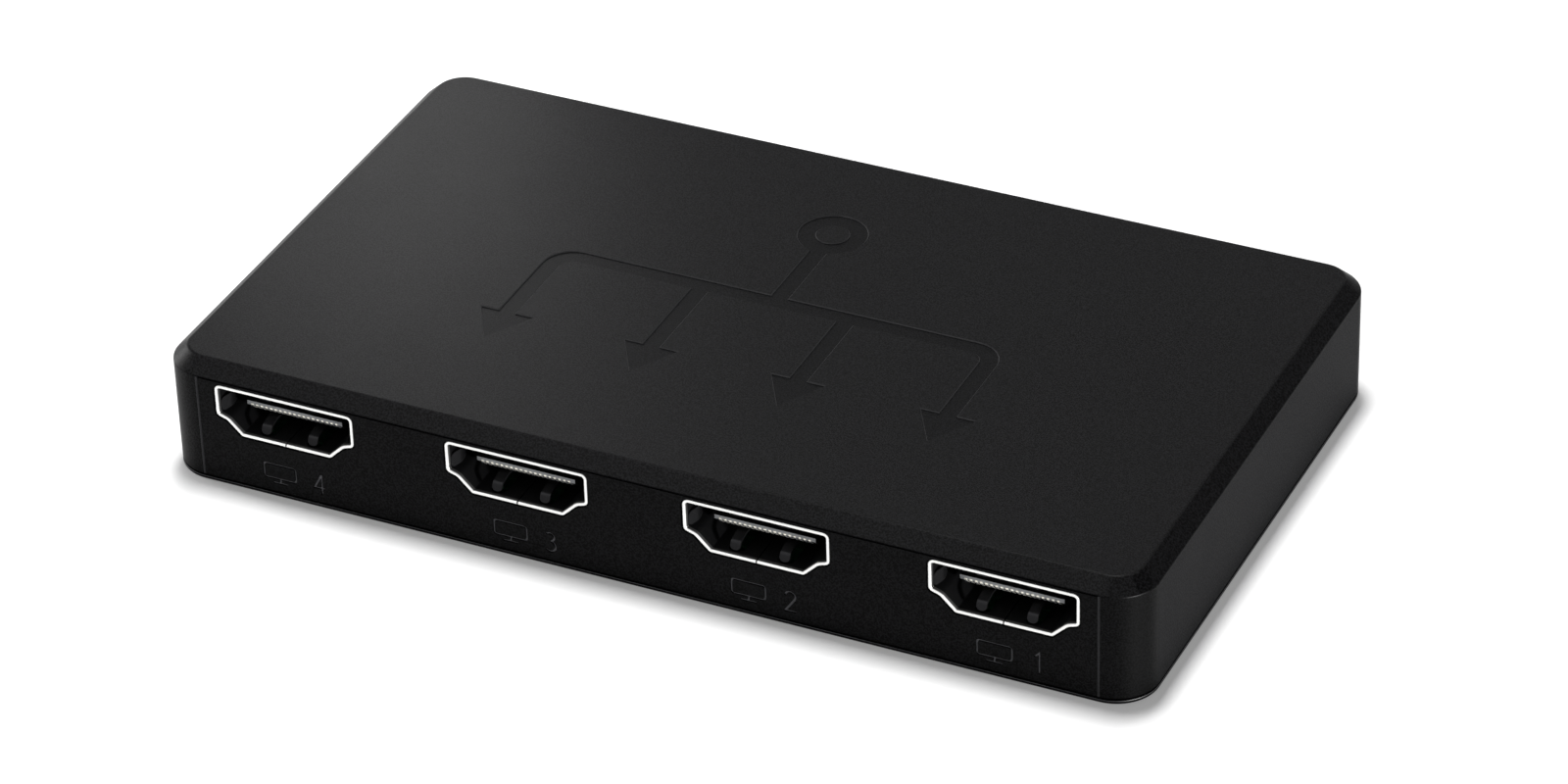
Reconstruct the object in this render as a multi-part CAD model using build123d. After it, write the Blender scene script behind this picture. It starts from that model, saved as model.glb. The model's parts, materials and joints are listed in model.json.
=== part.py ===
from build123d import *
import os

# A video splitter with one input and four outputs, in millimetres. The origin is the middle of the
# underside. +X runs along the long sides, the outputs face -Y, the input and the power socket face +Y.

# Sockets and their row
output_count = 4
socket_pitch = 24.4
shell_width = 14.8
shell_height = 5.3
shell_length = 11.0
shell_gauge = 0.4
shell_side_height = 3.45
shell_ledge = 1.15
shell_ledge_drop = 0.38
shell_floor_width = 9.5
shell_top_radius = 0.65
shell_side_radius = 0.55
shell_notch_radius = 0.8
shell_floor_radius = 0.5
rim_radius = 0.08
seam_width = 0.12
input_x = 0.0

# Spring fingers of a socket shell: their places run along the width and inwards from the rim
finger_width = 1.0
finger_gauge = 0.22
finger_spread = 2.475
finger_toe_depth = 1.1
finger_knee_depth = 1.95
finger_knee_rise = 0.42
finger_crest_depth = 2.85
finger_crest_rise = 1.0
finger_root_depth = 5.4
finger_slot_gap = 0.25
side_finger_width = 1.5
side_finger_rise = 0.45

# Solder legs of a socket shell
leg_width = 1.4
leg_front_depth = 3.6
leg_rear_depth = 9.4
leg_tail = 0.6
leg_clearance = 0.15

# Insulator and contacts of a socket
insulator_clearance = 0.05
insulator_depth = 6.8
tongue_width = 10.0
tongue_thickness = 0.7
tongue_drop = 1.9
tongue_tip_depth = 2.2
contact_count = 19
contact_pitch = 0.5
contact_width = 0.26
contact_gauge = 0.12
contact_stand = 0.04
contact_nose_height = 0.4
contact_foot = 0.9

# Case
case_margin = 6.0
field_depth = 36.6
corner_radius = 4.2
wall = 1.5
roof = 1.6
roof_gap = 0.25
chamfer_inset = 1.51
chamfer_drop = 1.36
edge_radius = 0.2
plate_edge = 0.45
plate_edge_radius = 0.3
groove_height = 0.25
groove_depth = 0.5
plate_clearance = 0.1
floor_thickness = 2.0
window_clearance = 0.12
rim_set_back = 0.05

# Witness lines that the mould leaves round the socket panel
witness_x = 45.8
witness_width = 0.16
witness_stand = 0.04
panel_line_height = 0.18
panel_line_depth = 0.14

# Bosses, standoffs and case screws
boss_radius = 2.4
boss_y_inset = 6.3
rear_boss_inset = 6.5
pilot_radius = 0.95
pilot_depth = 4.6
standoff_height = 2.35
standoff_radius = 3.2
screw_radius = 0.9
screw_hole_radius = 1.15
screw_head_radius = 1.9
screw_head_height = 1.3
screw_pocket_radius = 2.15
screw_pocket_depth = 2.1
screw_tip_gap = 0.5
cross_width = 0.5
cross_length = 2.2
cross_depth = 0.7

# Circuit board
board_thickness = 1.6
board_clearance = 0.4
board_hole_radius = 1.3

# Marks: a screen sign and a plain number under each output, and a branching sign on the top
mark_stroke = 0.2
mark_depth = 0.14
mark_height = 2.25
mark_gap = 2.15
digit_width = 1.1
digit_x = 3.35
screen_width = 3.6
screen_x = -0.9
screen_radius = 0.3
screen_foot_share = 0.45
screen_stand_share = 0.22
branch_stroke = 1.7
branch_depth = 0.12
branch_spread = 15.2
branch_bar_y = 1.5
branch_root_y = 14.5
branch_tip_y = -14.5
branch_head_width = 5.4
branch_head_length = 4.6
branch_ring_radius = 3.4
branch_corner_radius = 2.2

# Power socket
power_x = -24.4
power_width = 7.5
power_height = 2.6
power_length = 5.0
power_gauge = 0.3
power_shoulder = 0.9
power_corner_radius = 0.4
power_block_depth = 3.4
power_tongue_width = 4.0
power_tongue_thickness = 0.5
power_tongue_drop = 0.45
power_tongue_tip_depth = 0.6
power_contact_count = 5
power_contact_pitch = 0.65
power_contact_width = 0.35
power_contact_gauge = 0.1
power_foot = 0.7

# Splitter chip, its leads, the thermal tape and the heat sink
chip_size = 10.0
chip_height = 1.4
chip_stand = 0.1
chip_edge = 0.25
chip_dot_radius = 0.5
chip_dot_depth = 0.1
lead_count = 16
lead_pitch = 0.5
lead_width = 0.22
lead_gauge = 0.13
lead_reach = 1.0
lead_foot = 0.45
tape_thickness = 0.3
sink_base = 0.9
sink_fin_height = 1.9
sink_fin_count = 5
sink_fin_width = 0.8

# Memory chip
memory_length = 4.9
memory_width = 3.9
memory_height = 1.4
memory_lead_count = 4
memory_lead_pitch = 1.2
memory_lead_width = 0.4

# Crystal
crystal_length = 10.6
crystal_width = 3.6
crystal_height = 2.9
crystal_flange = 0.5
crystal_flange_height = 0.4
crystal_base_height = 0.6

# Voltage regulator
regulator_length = 6.5
regulator_width = 3.5
regulator_height = 1.6
regulator_pitch = 2.2
regulator_lead_width = 0.7
regulator_tab_width = 3.0

# Power inductor
inductor_size = 6.0
inductor_height = 2.8
inductor_corner = 1.2
inductor_terminal_width = 2.0
inductor_terminal_height = 0.5

# Electrolytic capacitors
can_radius = 2.0
can_height = 3.9
can_edge = 0.3
can_groove_height = 1.0
can_groove_depth = 0.2
can_groove_width = 0.35
can_base_size = 4.3
can_base_height = 0.6
can_base_corner = 0.8

# Small parts on the board
ceramic_length = 1.6
ceramic_width = 0.8
ceramic_height = 0.8
ceramic_row_pitch = 3.0
ceramic_row_count = 7
resistor_height = 0.45
resistor_pitch = 5.4
resistor_count = 15
array_length = 2.5
array_width = 1.0
array_height = 0.5
array_spread = 2.6
array_gap = 1.0

# Indicator lamp and its light pipe
lamp_x = 20.0
lamp_width = 2.4
lamp_depth = 1.2
lamp_height = 2.2
pipe_radius = 0.95
pipe_flange_radius = 1.3
pipe_flange_length = 0.4
pipe_clearance = 0.05
pipe_height = 1.4

# Places on the board, as shares of its half width and half depth
chip_place_shares = (0.0, -0.07)
memory_place_shares = (0.36, -0.14)
crystal_place_shares = (-0.36, -0.14)
regulator_place_shares = (-0.68, 0.45)
inductor_place_shares = (-0.8, 0.1)
can_place_shares = ((0.62, 0.32), (0.8, 0.32), (-0.84, -0.22))
ceramic_row_share = 0.27
resistor_row_share = -0.4

# One overrun serves every cut
overrun = 1.0

case_width = (output_count - 1) * socket_pitch + shell_width + 2 * case_margin
case_depth = 2 * shell_length + field_depth
front_y = -case_depth / 2
back_y = case_depth / 2
cover_bottom = plate_edge + groove_height
board_bottom = floor_thickness + standoff_height
board_top = board_bottom + board_thickness
ceiling = board_top + shell_height + roof_gap
case_height = ceiling + roof
chamfer_z = case_height - chamfer_drop
board_width = case_width - 2 * (wall + board_clearance)
board_depth = case_depth - 2 * (wall + board_clearance)
boss_places = [
    (side * x, y)
    for side in (-1, 1)
    for x, y in (
        (socket_pitch, front_y + boss_y_inset),
        (case_width / 2 - rear_boss_inset, back_y - boss_y_inset),
    )
]

# A socket's own frame has its origin on the board under the middle of the rim, +Y up and +Z out
section = Plane(origin=(0, 0, 0), x_dir=(0, 0, 1), z_dir=(-1, 0, 0))


def facing_front(x, set_back=0.0):
    """Frame of a piece at x that looks out of the front wall, standing on the board."""
    return Plane(origin=(x, front_y + set_back, board_top), x_dir=(1, 0, 0), z_dir=(0, -1, 0))


def facing_back(x, set_back=0.0):
    """Frame of a piece at x that looks out of the back wall, standing on the board."""
    return Plane(origin=(x, back_y - set_back, board_top), x_dir=(-1, 0, 0), z_dir=(0, 1, 0))


output_frames = [
    facing_front(((output_count - 1) / 2 - index) * socket_pitch, rim_set_back)
    for index in range(output_count)
]
input_frame = facing_back(input_x, rim_set_back)
power_frame = facing_back(power_x, rim_set_back)


def block(low, high):
    """Box between two corners."""
    size = [b - a for a, b in zip(low, high)]
    return Pos(*low) * Box(*size, align=(Align.MIN, Align.MIN, Align.MIN))


def rounded_slab(width, depth, radius, bottom, top):
    """Slab with rounded corners, centred on the origin, between two heights."""
    return Pos(0, 0, bottom) * extrude(RectangleRounded(width, depth, radius), amount=top - bottom)


def post(radius, x, y, bottom, top):
    """Upright round post between two heights."""
    return Pos(x, y, bottom) * extrude(Circle(radius), amount=top - bottom)


def strip(points, gauge, width, x=0.0):
    """Bent strip of one gauge and width that follows points (out, up) at x."""
    profile = trace(Polyline(*points), line_width=gauge)
    return Pos(x, 0, 0) * extrude(section * profile, amount=width / 2, both=True)


def place(name, pieces):
    """Writes the solids of one node to its own file."""
    solids = [solid for piece in pieces for solid in piece.solids()]
    whole = solids[0] if len(solids) == 1 else Compound(children=solids)
    export_step(whole, f"parts/{name}.step")


def row(count, pitch):
    """Places along a row with its middle at zero."""
    return [(index - (count - 1) / 2) * pitch for index in range(count)]


def socket_outline():
    """Outside of a socket shell: straight sides, drawn in by two shoulders to a narrower floor."""
    right = [
        (shell_width / 2, shell_height),
        (shell_width / 2, shell_height - shell_side_height),
        (shell_width / 2 - shell_ledge, shell_height - shell_side_height - shell_ledge_drop),
        (shell_floor_width / 2, 0),
    ]
    radii = [shell_top_radius, shell_side_radius, shell_notch_radius, shell_floor_radius]
    left = [(-x, y) for x, y in reversed(right)]
    return make_face(FilletPolyline(*right, *left, radius=radii + radii[::-1], close=True))


def finger_path(rise_sign, level):
    """Side view of a spring finger on a floor or ceiling at a level: toe, knee, crest and root."""
    return [
        (-finger_toe_depth, level + rise_sign * finger_gauge / 2),
        (-finger_knee_depth, level + rise_sign * finger_knee_rise),
        (-finger_crest_depth, level + rise_sign * finger_crest_rise),
        (-finger_crest_depth - finger_width, level + rise_sign * finger_crest_rise),
        (-finger_root_depth, level - rise_sign * shell_gauge / 2),
    ]


def socket_leg_boxes(grow):
    """Boxes of the four solder legs, each grown by a clearance."""
    boxes = []
    for side in (-1, 1):
        for depth in (leg_front_depth, leg_rear_depth):
            outer, inner = side * (shell_width / 2 + grow), side * (shell_width / 2 - shell_gauge - grow)
            low = (min(outer, inner), -board_thickness - leg_tail - grow, -depth - leg_width / 2 - grow)
            high = (max(outer, inner), shell_height - shell_side_height, -depth + leg_width / 2 + grow)
            boxes.append(block(low, high))
    return boxes


def socket_shell():
    """Folded steel shell with its floor seam, spring fingers and solder legs."""
    outline = socket_outline()
    hollow = offset(outline, amount=-shell_gauge)
    body = extrude(outline, amount=-shell_length)
    body = fillet(body.faces().sort_by(Axis.Z)[-1].edges(), radius=rim_radius)
    body -= Pos(0, 0, overrun) * extrude(hollow, amount=-shell_length - 2 * overrun)
    slot_width = finger_width + 2 * finger_slot_gap
    slot_front = -finger_toe_depth + finger_slot_gap
    slot_rear = -finger_root_depth + finger_gauge
    slot_length = slot_front - slot_rear
    slot = Pos(0, 0, (slot_front + slot_rear) / 2) * extrude(
        Plane.XZ * SlotOverall(slot_length, slot_width, rotation=90), amount=shell_gauge, both=True
    )
    toe_round = Pos(0, 0, -finger_toe_depth - (finger_root_depth + overrun) / 2 + finger_width / 2) * extrude(
        Plane.XZ * SlotOverall(finger_root_depth + overrun, finger_width, rotation=90),
        amount=shell_height,
        both=True,
    )
    for x in (-finger_spread, finger_spread):
        body -= Pos(x, 0, 0) * slot
        body -= Pos(x, shell_height, 0) * slot
        floor_finger = strip(finger_path(1, shell_gauge), finger_gauge, finger_width)
        roof_finger = strip(finger_path(-1, shell_height - shell_gauge), finger_gauge, finger_width)
        shift = Pos(0, 0, -finger_width / 2)
        body += Pos(x, 0, 0) * (floor_finger & (shift * toe_round))
        body += Pos(x, 0, 0) * (roof_finger & (shift * toe_round))
    side_level = shell_height - shell_side_height / 2
    for side in (-1, 1):
        inner_x = side * (shell_width / 2 - shell_gauge)
        crest_x = inner_x - side * side_finger_rise
        points = [
            (inner_x, -finger_toe_depth),
            (crest_x, -finger_crest_depth),
            (inner_x + side * shell_gauge / 2, -finger_root_depth),
        ]
        plan = trace(Polyline(*points), line_width=finger_gauge)
        flat = Plane(origin=(0, side_level, 0), x_dir=(1, 0, 0), z_dir=(0, -1, 0))
        body += extrude(flat * plan, amount=side_finger_width / 2, both=True)
    seam_top = shell_gauge + overrun
    body -= block((-seam_width / 2, -overrun, -shell_length - overrun), (seam_width / 2, seam_top, overrun))
    for leg in socket_leg_boxes(0):
        body += leg
    return body


def contact_path(is_upper):
    """Side view of a contact: nose, blade along the tongue, drop behind the block and foot."""
    tongue_top = shell_height - shell_gauge - tongue_drop
    tongue_bottom = tongue_top - tongue_thickness
    half = contact_gauge / 2
    nose_z = -tongue_tip_depth + contact_stand - half
    blade_y = tongue_top + contact_stand - half if is_upper else tongue_bottom - contact_stand + half
    nose_y = blade_y - contact_nose_height if is_upper else blade_y + contact_nose_height
    drop_z = -shell_length - half
    return [
        (nose_z, nose_y),
        (nose_z, blade_y),
        (drop_z, blade_y),
        (drop_z, half),
        (drop_z - contact_foot, half),
    ]


def socket_contacts():
    """The contacts of one socket, on the upper and the lower side of the tongue by turns."""
    upper, lower = contact_path(True), contact_path(False)
    places = row(contact_count, contact_pitch)
    return [
        strip(upper if index % 2 == 0 else lower, contact_gauge, contact_width, x)
        for index, x in enumerate(places)
    ]


def socket_insulator(contacts):
    """Moulded block in the back of the shell with the tongue that carries the contacts."""
    hollow = offset(socket_outline(), amount=-shell_gauge - insulator_clearance)
    body = Pos(0, 0, -insulator_depth) * extrude(hollow, amount=insulator_depth - shell_length)
    top = shell_height - shell_gauge - tongue_drop
    body += block(
        (-tongue_width / 2, top - tongue_thickness, -insulator_depth - overrun),
        (tongue_width / 2, top, -tongue_tip_depth),
    )
    for contact in contacts:
        body -= contact
    return body


def power_outline():
    """Outside of the power socket's shell, with its two lower corners cut off."""
    right = [
        (power_width / 2, power_height),
        (power_width / 2, power_shoulder),
        (power_width / 2 - power_shoulder, 0),
    ]
    left = [(-x, y) for x, y in reversed(right)]
    outline = make_face(Polyline(*right, *left, close=True))
    return fillet(outline.vertices(), radius=power_corner_radius)


def power_leg_boxes(grow):
    """Boxes of the power shell's two solder legs, each grown by a clearance."""
    boxes = []
    for side in (-1, 1):
        outer, inner = side * (power_width / 2 + grow), side * (power_width / 2 - power_gauge - grow)
        depth = power_block_depth
        low = (min(outer, inner), -board_thickness - leg_tail - grow, -depth - leg_width / 2 - grow)
        high = (max(outer, inner), power_height / 2, -depth + leg_width / 2 + grow)
        boxes.append(block(low, high))
    return boxes


def power_shell():
    """Folded shell of the power socket with two solder legs."""
    outline = power_outline()
    hollow = offset(outline, amount=-power_gauge)
    body = extrude(outline, amount=-power_length)
    body -= Pos(0, 0, overrun) * extrude(hollow, amount=-power_length - 2 * overrun)
    for leg in power_leg_boxes(0):
        body += leg
    return body


def power_contacts():
    """The flat contacts of the power socket, under its tongue."""
    tongue_bottom = power_height - power_gauge - power_tongue_drop - power_tongue_thickness
    half = power_contact_gauge / 2
    path = [
        (-power_tongue_tip_depth - power_contact_width, tongue_bottom - contact_stand + half),
        (-power_length - half, tongue_bottom - contact_stand + half),
        (-power_length - half, half),
        (-power_length - half - power_foot, half),
    ]
    places = row(power_contact_count, power_contact_pitch)
    return [strip(path, power_contact_gauge, power_contact_width, x) for x in places]


def power_insulator(contacts):
    """Moulded block and tongue of the power socket."""
    hollow = offset(power_outline(), amount=-power_gauge - insulator_clearance)
    body = Pos(0, 0, -power_block_depth) * extrude(hollow, amount=power_block_depth - power_length)
    top = power_height - power_gauge - power_tongue_drop
    body += block(
        (-power_tongue_width / 2, top - power_tongue_thickness, -power_block_depth - power_gauge),
        (power_tongue_width / 2, top, -power_tongue_tip_depth),
    )
    for contact in contacts:
        body -= contact
    return body


def digit_sketch(digit):
    """Strokes of a plain number, from the foot of its left edge."""
    w, h = digit_width, mark_height
    if digit == 1:
        strokes = [Polyline((w * 0.2, h * 0.8), (w * 0.6, h), (w * 0.6, 0))]
    elif digit == 2:
        bowl = ThreePointArc((0, h * 0.8), (w * 0.5, h), (w * 0.9, h * 0.62))
        strokes = [bowl + Polyline((w * 0.9, h * 0.62), (0, 0), (w, 0))]
    elif digit == 3:
        upper = ThreePointArc((0, h * 0.93), (w * 0.85, h * 0.76), (w * 0.35, h * 0.53))
        lower = ThreePointArc((w * 0.35, h * 0.53), (w * 0.95, h * 0.27), (0, h * 0.06))
        strokes = [upper, lower]
    else:
        strokes = [
            Polyline((w * 0.7, h), (0, h * 0.32), (w, h * 0.32)),
            Line((w * 0.7, 0), (w * 0.7, h)),
        ]
    sketch = Sketch()
    for stroke in strokes:
        sketch += trace(stroke, line_width=mark_stroke)
    return sketch


def screen_sign():
    """Outline of a screen on its foot."""
    foot = mark_height * screen_stand_share
    height = mark_height - foot
    frame = RectangleRounded(screen_width, height, screen_radius)
    frame -= RectangleRounded(screen_width - 2 * mark_stroke, height - 2 * mark_stroke, screen_radius / 2)
    sign = Pos(0, foot + height / 2) * frame
    sign += Pos(0, foot / 2) * Rectangle(mark_stroke, foot + mark_stroke)
    sign += Pos(0, mark_stroke / 2) * Rectangle(screen_width * screen_foot_share, mark_stroke)
    return sign


def output_mark(digit):
    """Cutter for the sign and the number under one output socket, in the socket's frame."""
    low = -mark_gap - mark_height
    sign = Pos(screen_x, low) * screen_sign()
    number = Pos(digit_x - digit_width / 2, low) * digit_sketch(digit)
    cut_depth = mark_depth + rim_set_back
    cutters = [extrude(sketch, amount=cut_depth, both=True) for sketch in (sign, number)]
    return cutters


def branch_sign():
    """Sign on the top: one line from a ring that parts into an arrow for each output."""
    xs = row(output_count, branch_spread)
    stroke = branch_stroke
    ring = Pos(0, branch_root_y) * (Circle(branch_ring_radius) - Circle(branch_ring_radius - stroke))
    sign = ring
    trunk_top = branch_root_y - branch_ring_radius + stroke / 2
    trunk = [(0, trunk_top), (0, branch_bar_y)]
    sign += trace(Polyline(*trunk), line_width=stroke)
    bend = branch_bar_y - branch_corner_radius
    for x in xs:
        neck_y = branch_tip_y + branch_head_length
        sign += Pos(x, (bend + neck_y) / 2) * Rectangle(stroke, bend - neck_y)
        sign += Pos(x, branch_tip_y) * make_face(
            Polyline(
                (0, 0),
                (branch_head_width / 2, branch_head_length),
                (-branch_head_width / 2, branch_head_length),
                (0, 0),
            )
        )
    for x in xs[1:-1]:
        sign += Pos(x, branch_bar_y - branch_corner_radius / 2) * Rectangle(stroke, branch_corner_radius)
    bar = FilletPolyline(
        (xs[0], bend), (xs[0], branch_bar_y), (xs[-1], branch_bar_y), (xs[-1], bend), radius=branch_corner_radius
    )
    return sign + trace(bar, line_width=stroke)


def top_cover():
    """Top, walls and bosses in one moulding."""
    body = rounded_slab(case_width, case_depth, corner_radius, cover_bottom, case_height)
    top = body.faces().sort_by(Axis.Z)[-1]
    body = chamfer(top.edges(), length=chamfer_inset, length2=chamfer_drop, reference=top)
    rims = body.edges().group_by(Axis.Z)
    body = fillet(rims[-1] + rims[-3], radius=edge_radius)
    inside = (case_width - 2 * wall, case_depth - 2 * wall, corner_radius - wall)
    body -= rounded_slab(*inside, cover_bottom - overrun, ceiling)
    for x, y in boss_places:
        body += post(boss_radius, x, y, board_top, ceiling)
        body -= post(pilot_radius, x, y, board_top - overrun, board_top + pilot_depth)
    for side in (-1, 1):
        body += block(
            (side * witness_x - witness_width / 2, front_y - witness_stand, cover_bottom),
            (side * witness_x + witness_width / 2, front_y + wall / 2, chamfer_z - panel_line_height),
        )
    body -= block(
        (-witness_x, front_y - overrun, chamfer_z - panel_line_height),
        (witness_x, front_y + panel_line_depth, chamfer_z),
    )
    window = offset(socket_outline(), amount=window_clearance)
    reach = wall + overrun
    for frame in output_frames + [input_frame]:
        body -= frame * (Pos(0, 0, overrun) * extrude(window, amount=-overrun - reach))
    for digit, frame in enumerate(output_frames, 1):
        for cutter in output_mark(digit):
            body -= frame * cutter
    power_window = offset(power_outline(), amount=window_clearance)
    body -= power_frame * (Pos(0, 0, overrun) * extrude(power_window, amount=-overrun - reach))
    body -= facing_back(lamp_x) * Pos(0, pipe_height, 0) * extrude(
        Circle(pipe_radius + pipe_clearance), amount=reach, both=True
    )
    body -= Pos(0, 0, case_height) * extrude(branch_sign(), amount=branch_depth, both=True)
    return body


def base_plate():
    """Floor of the case, with its visible edge, the shadow groove and the board's standoffs."""
    edge = rounded_slab(case_width, case_depth, corner_radius, 0, plate_edge)
    edge = fillet(edge.faces().sort_by(Axis.Z)[0].edges(), radius=plate_edge_radius)
    web = (case_width - 2 * groove_depth, case_depth - 2 * groove_depth, corner_radius - groove_depth)
    inset = wall + plate_clearance
    plug = (case_width - 2 * inset, case_depth - 2 * inset, corner_radius - inset)
    body = edge + rounded_slab(*web, plate_edge, cover_bottom)
    body += rounded_slab(*plug, cover_bottom, floor_thickness)
    for x, y in boss_places:
        body += post(standoff_radius, x, y, cover_bottom, board_bottom)
        body -= post(screw_pocket_radius, x, y, -overrun, screw_pocket_depth)
        body -= post(screw_hole_radius, x, y, 0, board_bottom + overrun)
    return body


def circuit_board():
    """Board with its screw holes and the slots of the solder legs."""
    radius = corner_radius - wall
    body = rounded_slab(board_width, board_depth, radius, board_bottom, board_top)
    for x, y in boss_places:
        body -= post(board_hole_radius, x, y, board_bottom - overrun, board_top + overrun)
    for frame in output_frames + [input_frame]:
        for leg in socket_leg_boxes(leg_clearance):
            body -= frame * leg
    for leg in power_leg_boxes(leg_clearance):
        body -= power_frame * leg
    return body


def case_screws():
    """The four screws that hold the base plate, the board and the cover together."""
    screws = []
    head_bottom = screw_pocket_depth - screw_head_height
    tip = board_top + pilot_depth - screw_tip_gap
    cross = Box(cross_length, cross_width, cross_depth * 2) + Box(cross_width, cross_length, cross_depth * 2)
    for x, y in boss_places:
        head = post(screw_head_radius, x, y, head_bottom, screw_pocket_depth)
        head = fillet(head.faces().sort_by(Axis.Z)[0].edges(), radius=screw_head_height / 3)
        screw = head + post(screw_radius, x, y, head_bottom + cross_depth, tip)
        screws.append(screw - Pos(x, y, head_bottom) * cross)
    return screws


def on_board(shares, height=0.0):
    """Place on the board from shares of its half width and half depth, at a height above it."""
    return Pos(shares[0] * board_width / 2, shares[1] * board_depth / 2, board_top + height)


def standing_box(length, width, height, bottom=0.0):
    """Box on the board, centred in plan."""
    return Pos(0, 0, bottom) * Box(length, width, height, align=(Align.CENTER, Align.CENTER, Align.MIN))


def gull_lead(start, up, reach, width, gauge, foot):
    """One bent lead that leaves a body at start along +X and stands on the board."""
    half = gauge / 2
    points = [(start, up), (start + reach - foot, up), (start + reach - foot, half), (start + reach, half)]
    profile = trace(Polyline(*points), line_width=gauge)
    return extrude(Plane.XZ * profile, amount=width / 2, both=True)


def splitter_chip():
    """Body of the main chip, with its bevelled edges and the dot of its first lead."""
    body = standing_box(chip_size, chip_size, chip_height, chip_stand)
    body = chamfer(body.faces().sort_by(Axis.Z)[-1].edges(), length=chip_edge)
    body = chamfer(body.edges().filter_by(Axis.Z), length=chip_edge)
    corner = -chip_size / 2 + 3 * chip_dot_radius
    top = chip_stand + chip_height
    return body - post(chip_dot_radius, corner, corner, top - chip_dot_depth, top + overrun)


def splitter_chip_leads():
    """The leads of the main chip on its four sides."""
    up = chip_stand + chip_height / 2
    lead = gull_lead(chip_size / 2, up, lead_reach, lead_width, lead_gauge, lead_foot)
    side = [Pos(0, y, 0) * lead for y in row(lead_count, lead_pitch)]
    return [Rot(0, 0, turn) * item for turn in (0, 90, 180, 270) for item in side]


def heat_sink():
    """Finned sink on the main chip."""
    size = chip_size
    body = standing_box(size, size, sink_base)
    pitch = (size - sink_fin_width) / (sink_fin_count - 1)
    for x in row(sink_fin_count, pitch):
        body += Pos(x, 0, 0) * standing_box(sink_fin_width, size, sink_base + sink_fin_height)
    return body


def memory_leads():
    """The leads of the memory chip on its two long sides."""
    up = chip_stand + memory_height / 2
    lead = gull_lead(memory_width / 2, up, lead_reach, memory_lead_width, lead_gauge, lead_foot)
    side = [Pos(0, y, 0) * lead for y in row(memory_lead_count, memory_lead_pitch)]
    return [Rot(0, 0, turn) * item for turn in (0, 180) for item in side]


def crystal_can():
    """Drawn can of the crystal with its flange."""
    body = Pos(0, 0, crystal_base_height) * extrude(
        SlotOverall(crystal_length + 2 * crystal_flange, crystal_width + 2 * crystal_flange),
        amount=crystal_flange_height,
    )
    body += Pos(0, 0, crystal_base_height) * extrude(
        SlotOverall(crystal_length, crystal_width), amount=crystal_height
    )
    return fillet(body.faces().sort_by(Axis.Z)[-1].edges(), radius=crystal_flange_height)


def regulator_leads():
    """Three leads of the regulator on one side and its wide tab on the other."""
    up = chip_stand + regulator_height / 2
    start = regulator_width / 2
    lead = gull_lead(start, up, lead_reach, regulator_lead_width, lead_gauge, lead_foot)
    tab = gull_lead(start, up, lead_reach, regulator_tab_width, lead_gauge, lead_foot)
    return [Pos(0, y, 0) * lead for y in row(3, regulator_pitch)] + [Rot(0, 0, 180) * tab]


def inductor_core():
    """Shielded core with its four corners cut off and the seats of its terminals."""
    body = standing_box(inductor_size, inductor_size, inductor_height)
    body = chamfer(body.edges().filter_by(Axis.Z), length=inductor_corner)
    for terminal in inductor_terminals():
        body -= terminal
    return body


def inductor_terminals():
    """The two flat terminals at the foot of the core."""
    reach = inductor_size / 2
    width = inductor_terminal_width / 2
    return [
        block(
            (min(side * reach, side * reach / 2), -width, 0),
            (max(side * reach, side * reach / 2), width, inductor_terminal_height),
        )
        for side in (-1, 1)
    ]


def capacitor_can():
    """Aluminium can with the groove above its base."""
    bottom = can_base_height
    top = bottom + can_height
    body = post(can_radius, 0, 0, bottom, top)
    body = fillet(body.faces().sort_by(Axis.Z)[-1].edges(), radius=can_edge)
    low = bottom + can_groove_height
    groove = post(can_radius + overrun, 0, 0, low, low + can_groove_width)
    return body - (groove - post(can_radius - can_groove_depth, 0, 0, low, low + can_groove_width))


def capacitor_base():
    """Square base under a can, with two corners cut off."""
    body = standing_box(can_base_size, can_base_size, can_base_height)
    corners = body.edges().filter_by(Axis.Z).group_by(Axis.X)[0]
    return chamfer(corners, length=can_base_corner)


def small_box(height, x, y):
    """Small two-ended part on the board, at a place in millimetres."""
    return Pos(x, y, board_top) * standing_box(ceramic_length, ceramic_width, height)


def surge_arrays():
    """Two protection arrays behind each output socket and behind the input socket."""
    out = -shell_length - contact_gauge - contact_foot - array_gap
    low = (-array_length / 2, 0, out - array_width)
    high = (array_length / 2, array_height, out)
    pair = [Pos(x, 0, 0) * block(low, high) for x in (-array_spread, array_spread)]
    return [frame * item for frame in output_frames + [input_frame] for item in pair]


def indicator_lamp():
    """Side-looking lamp right behind the light pipe."""
    frame = facing_back(lamp_x, wall + pipe_flange_length + pipe_clearance)
    low = (-lamp_width / 2, 0, -lamp_depth)
    return frame * block(low, (lamp_width / 2, lamp_height, 0))


def light_pipe():
    """Clear pipe in the back wall, with the flange that stops it falling out."""
    frame = facing_back(lamp_x, rim_set_back)
    pipe = extrude(Circle(pipe_radius), amount=rim_set_back - wall)
    flange = Pos(0, 0, rim_set_back - wall) * extrude(Circle(pipe_flange_radius), amount=-pipe_flange_length)
    return frame * Pos(0, pipe_height, 0) * (pipe + flange)


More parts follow.
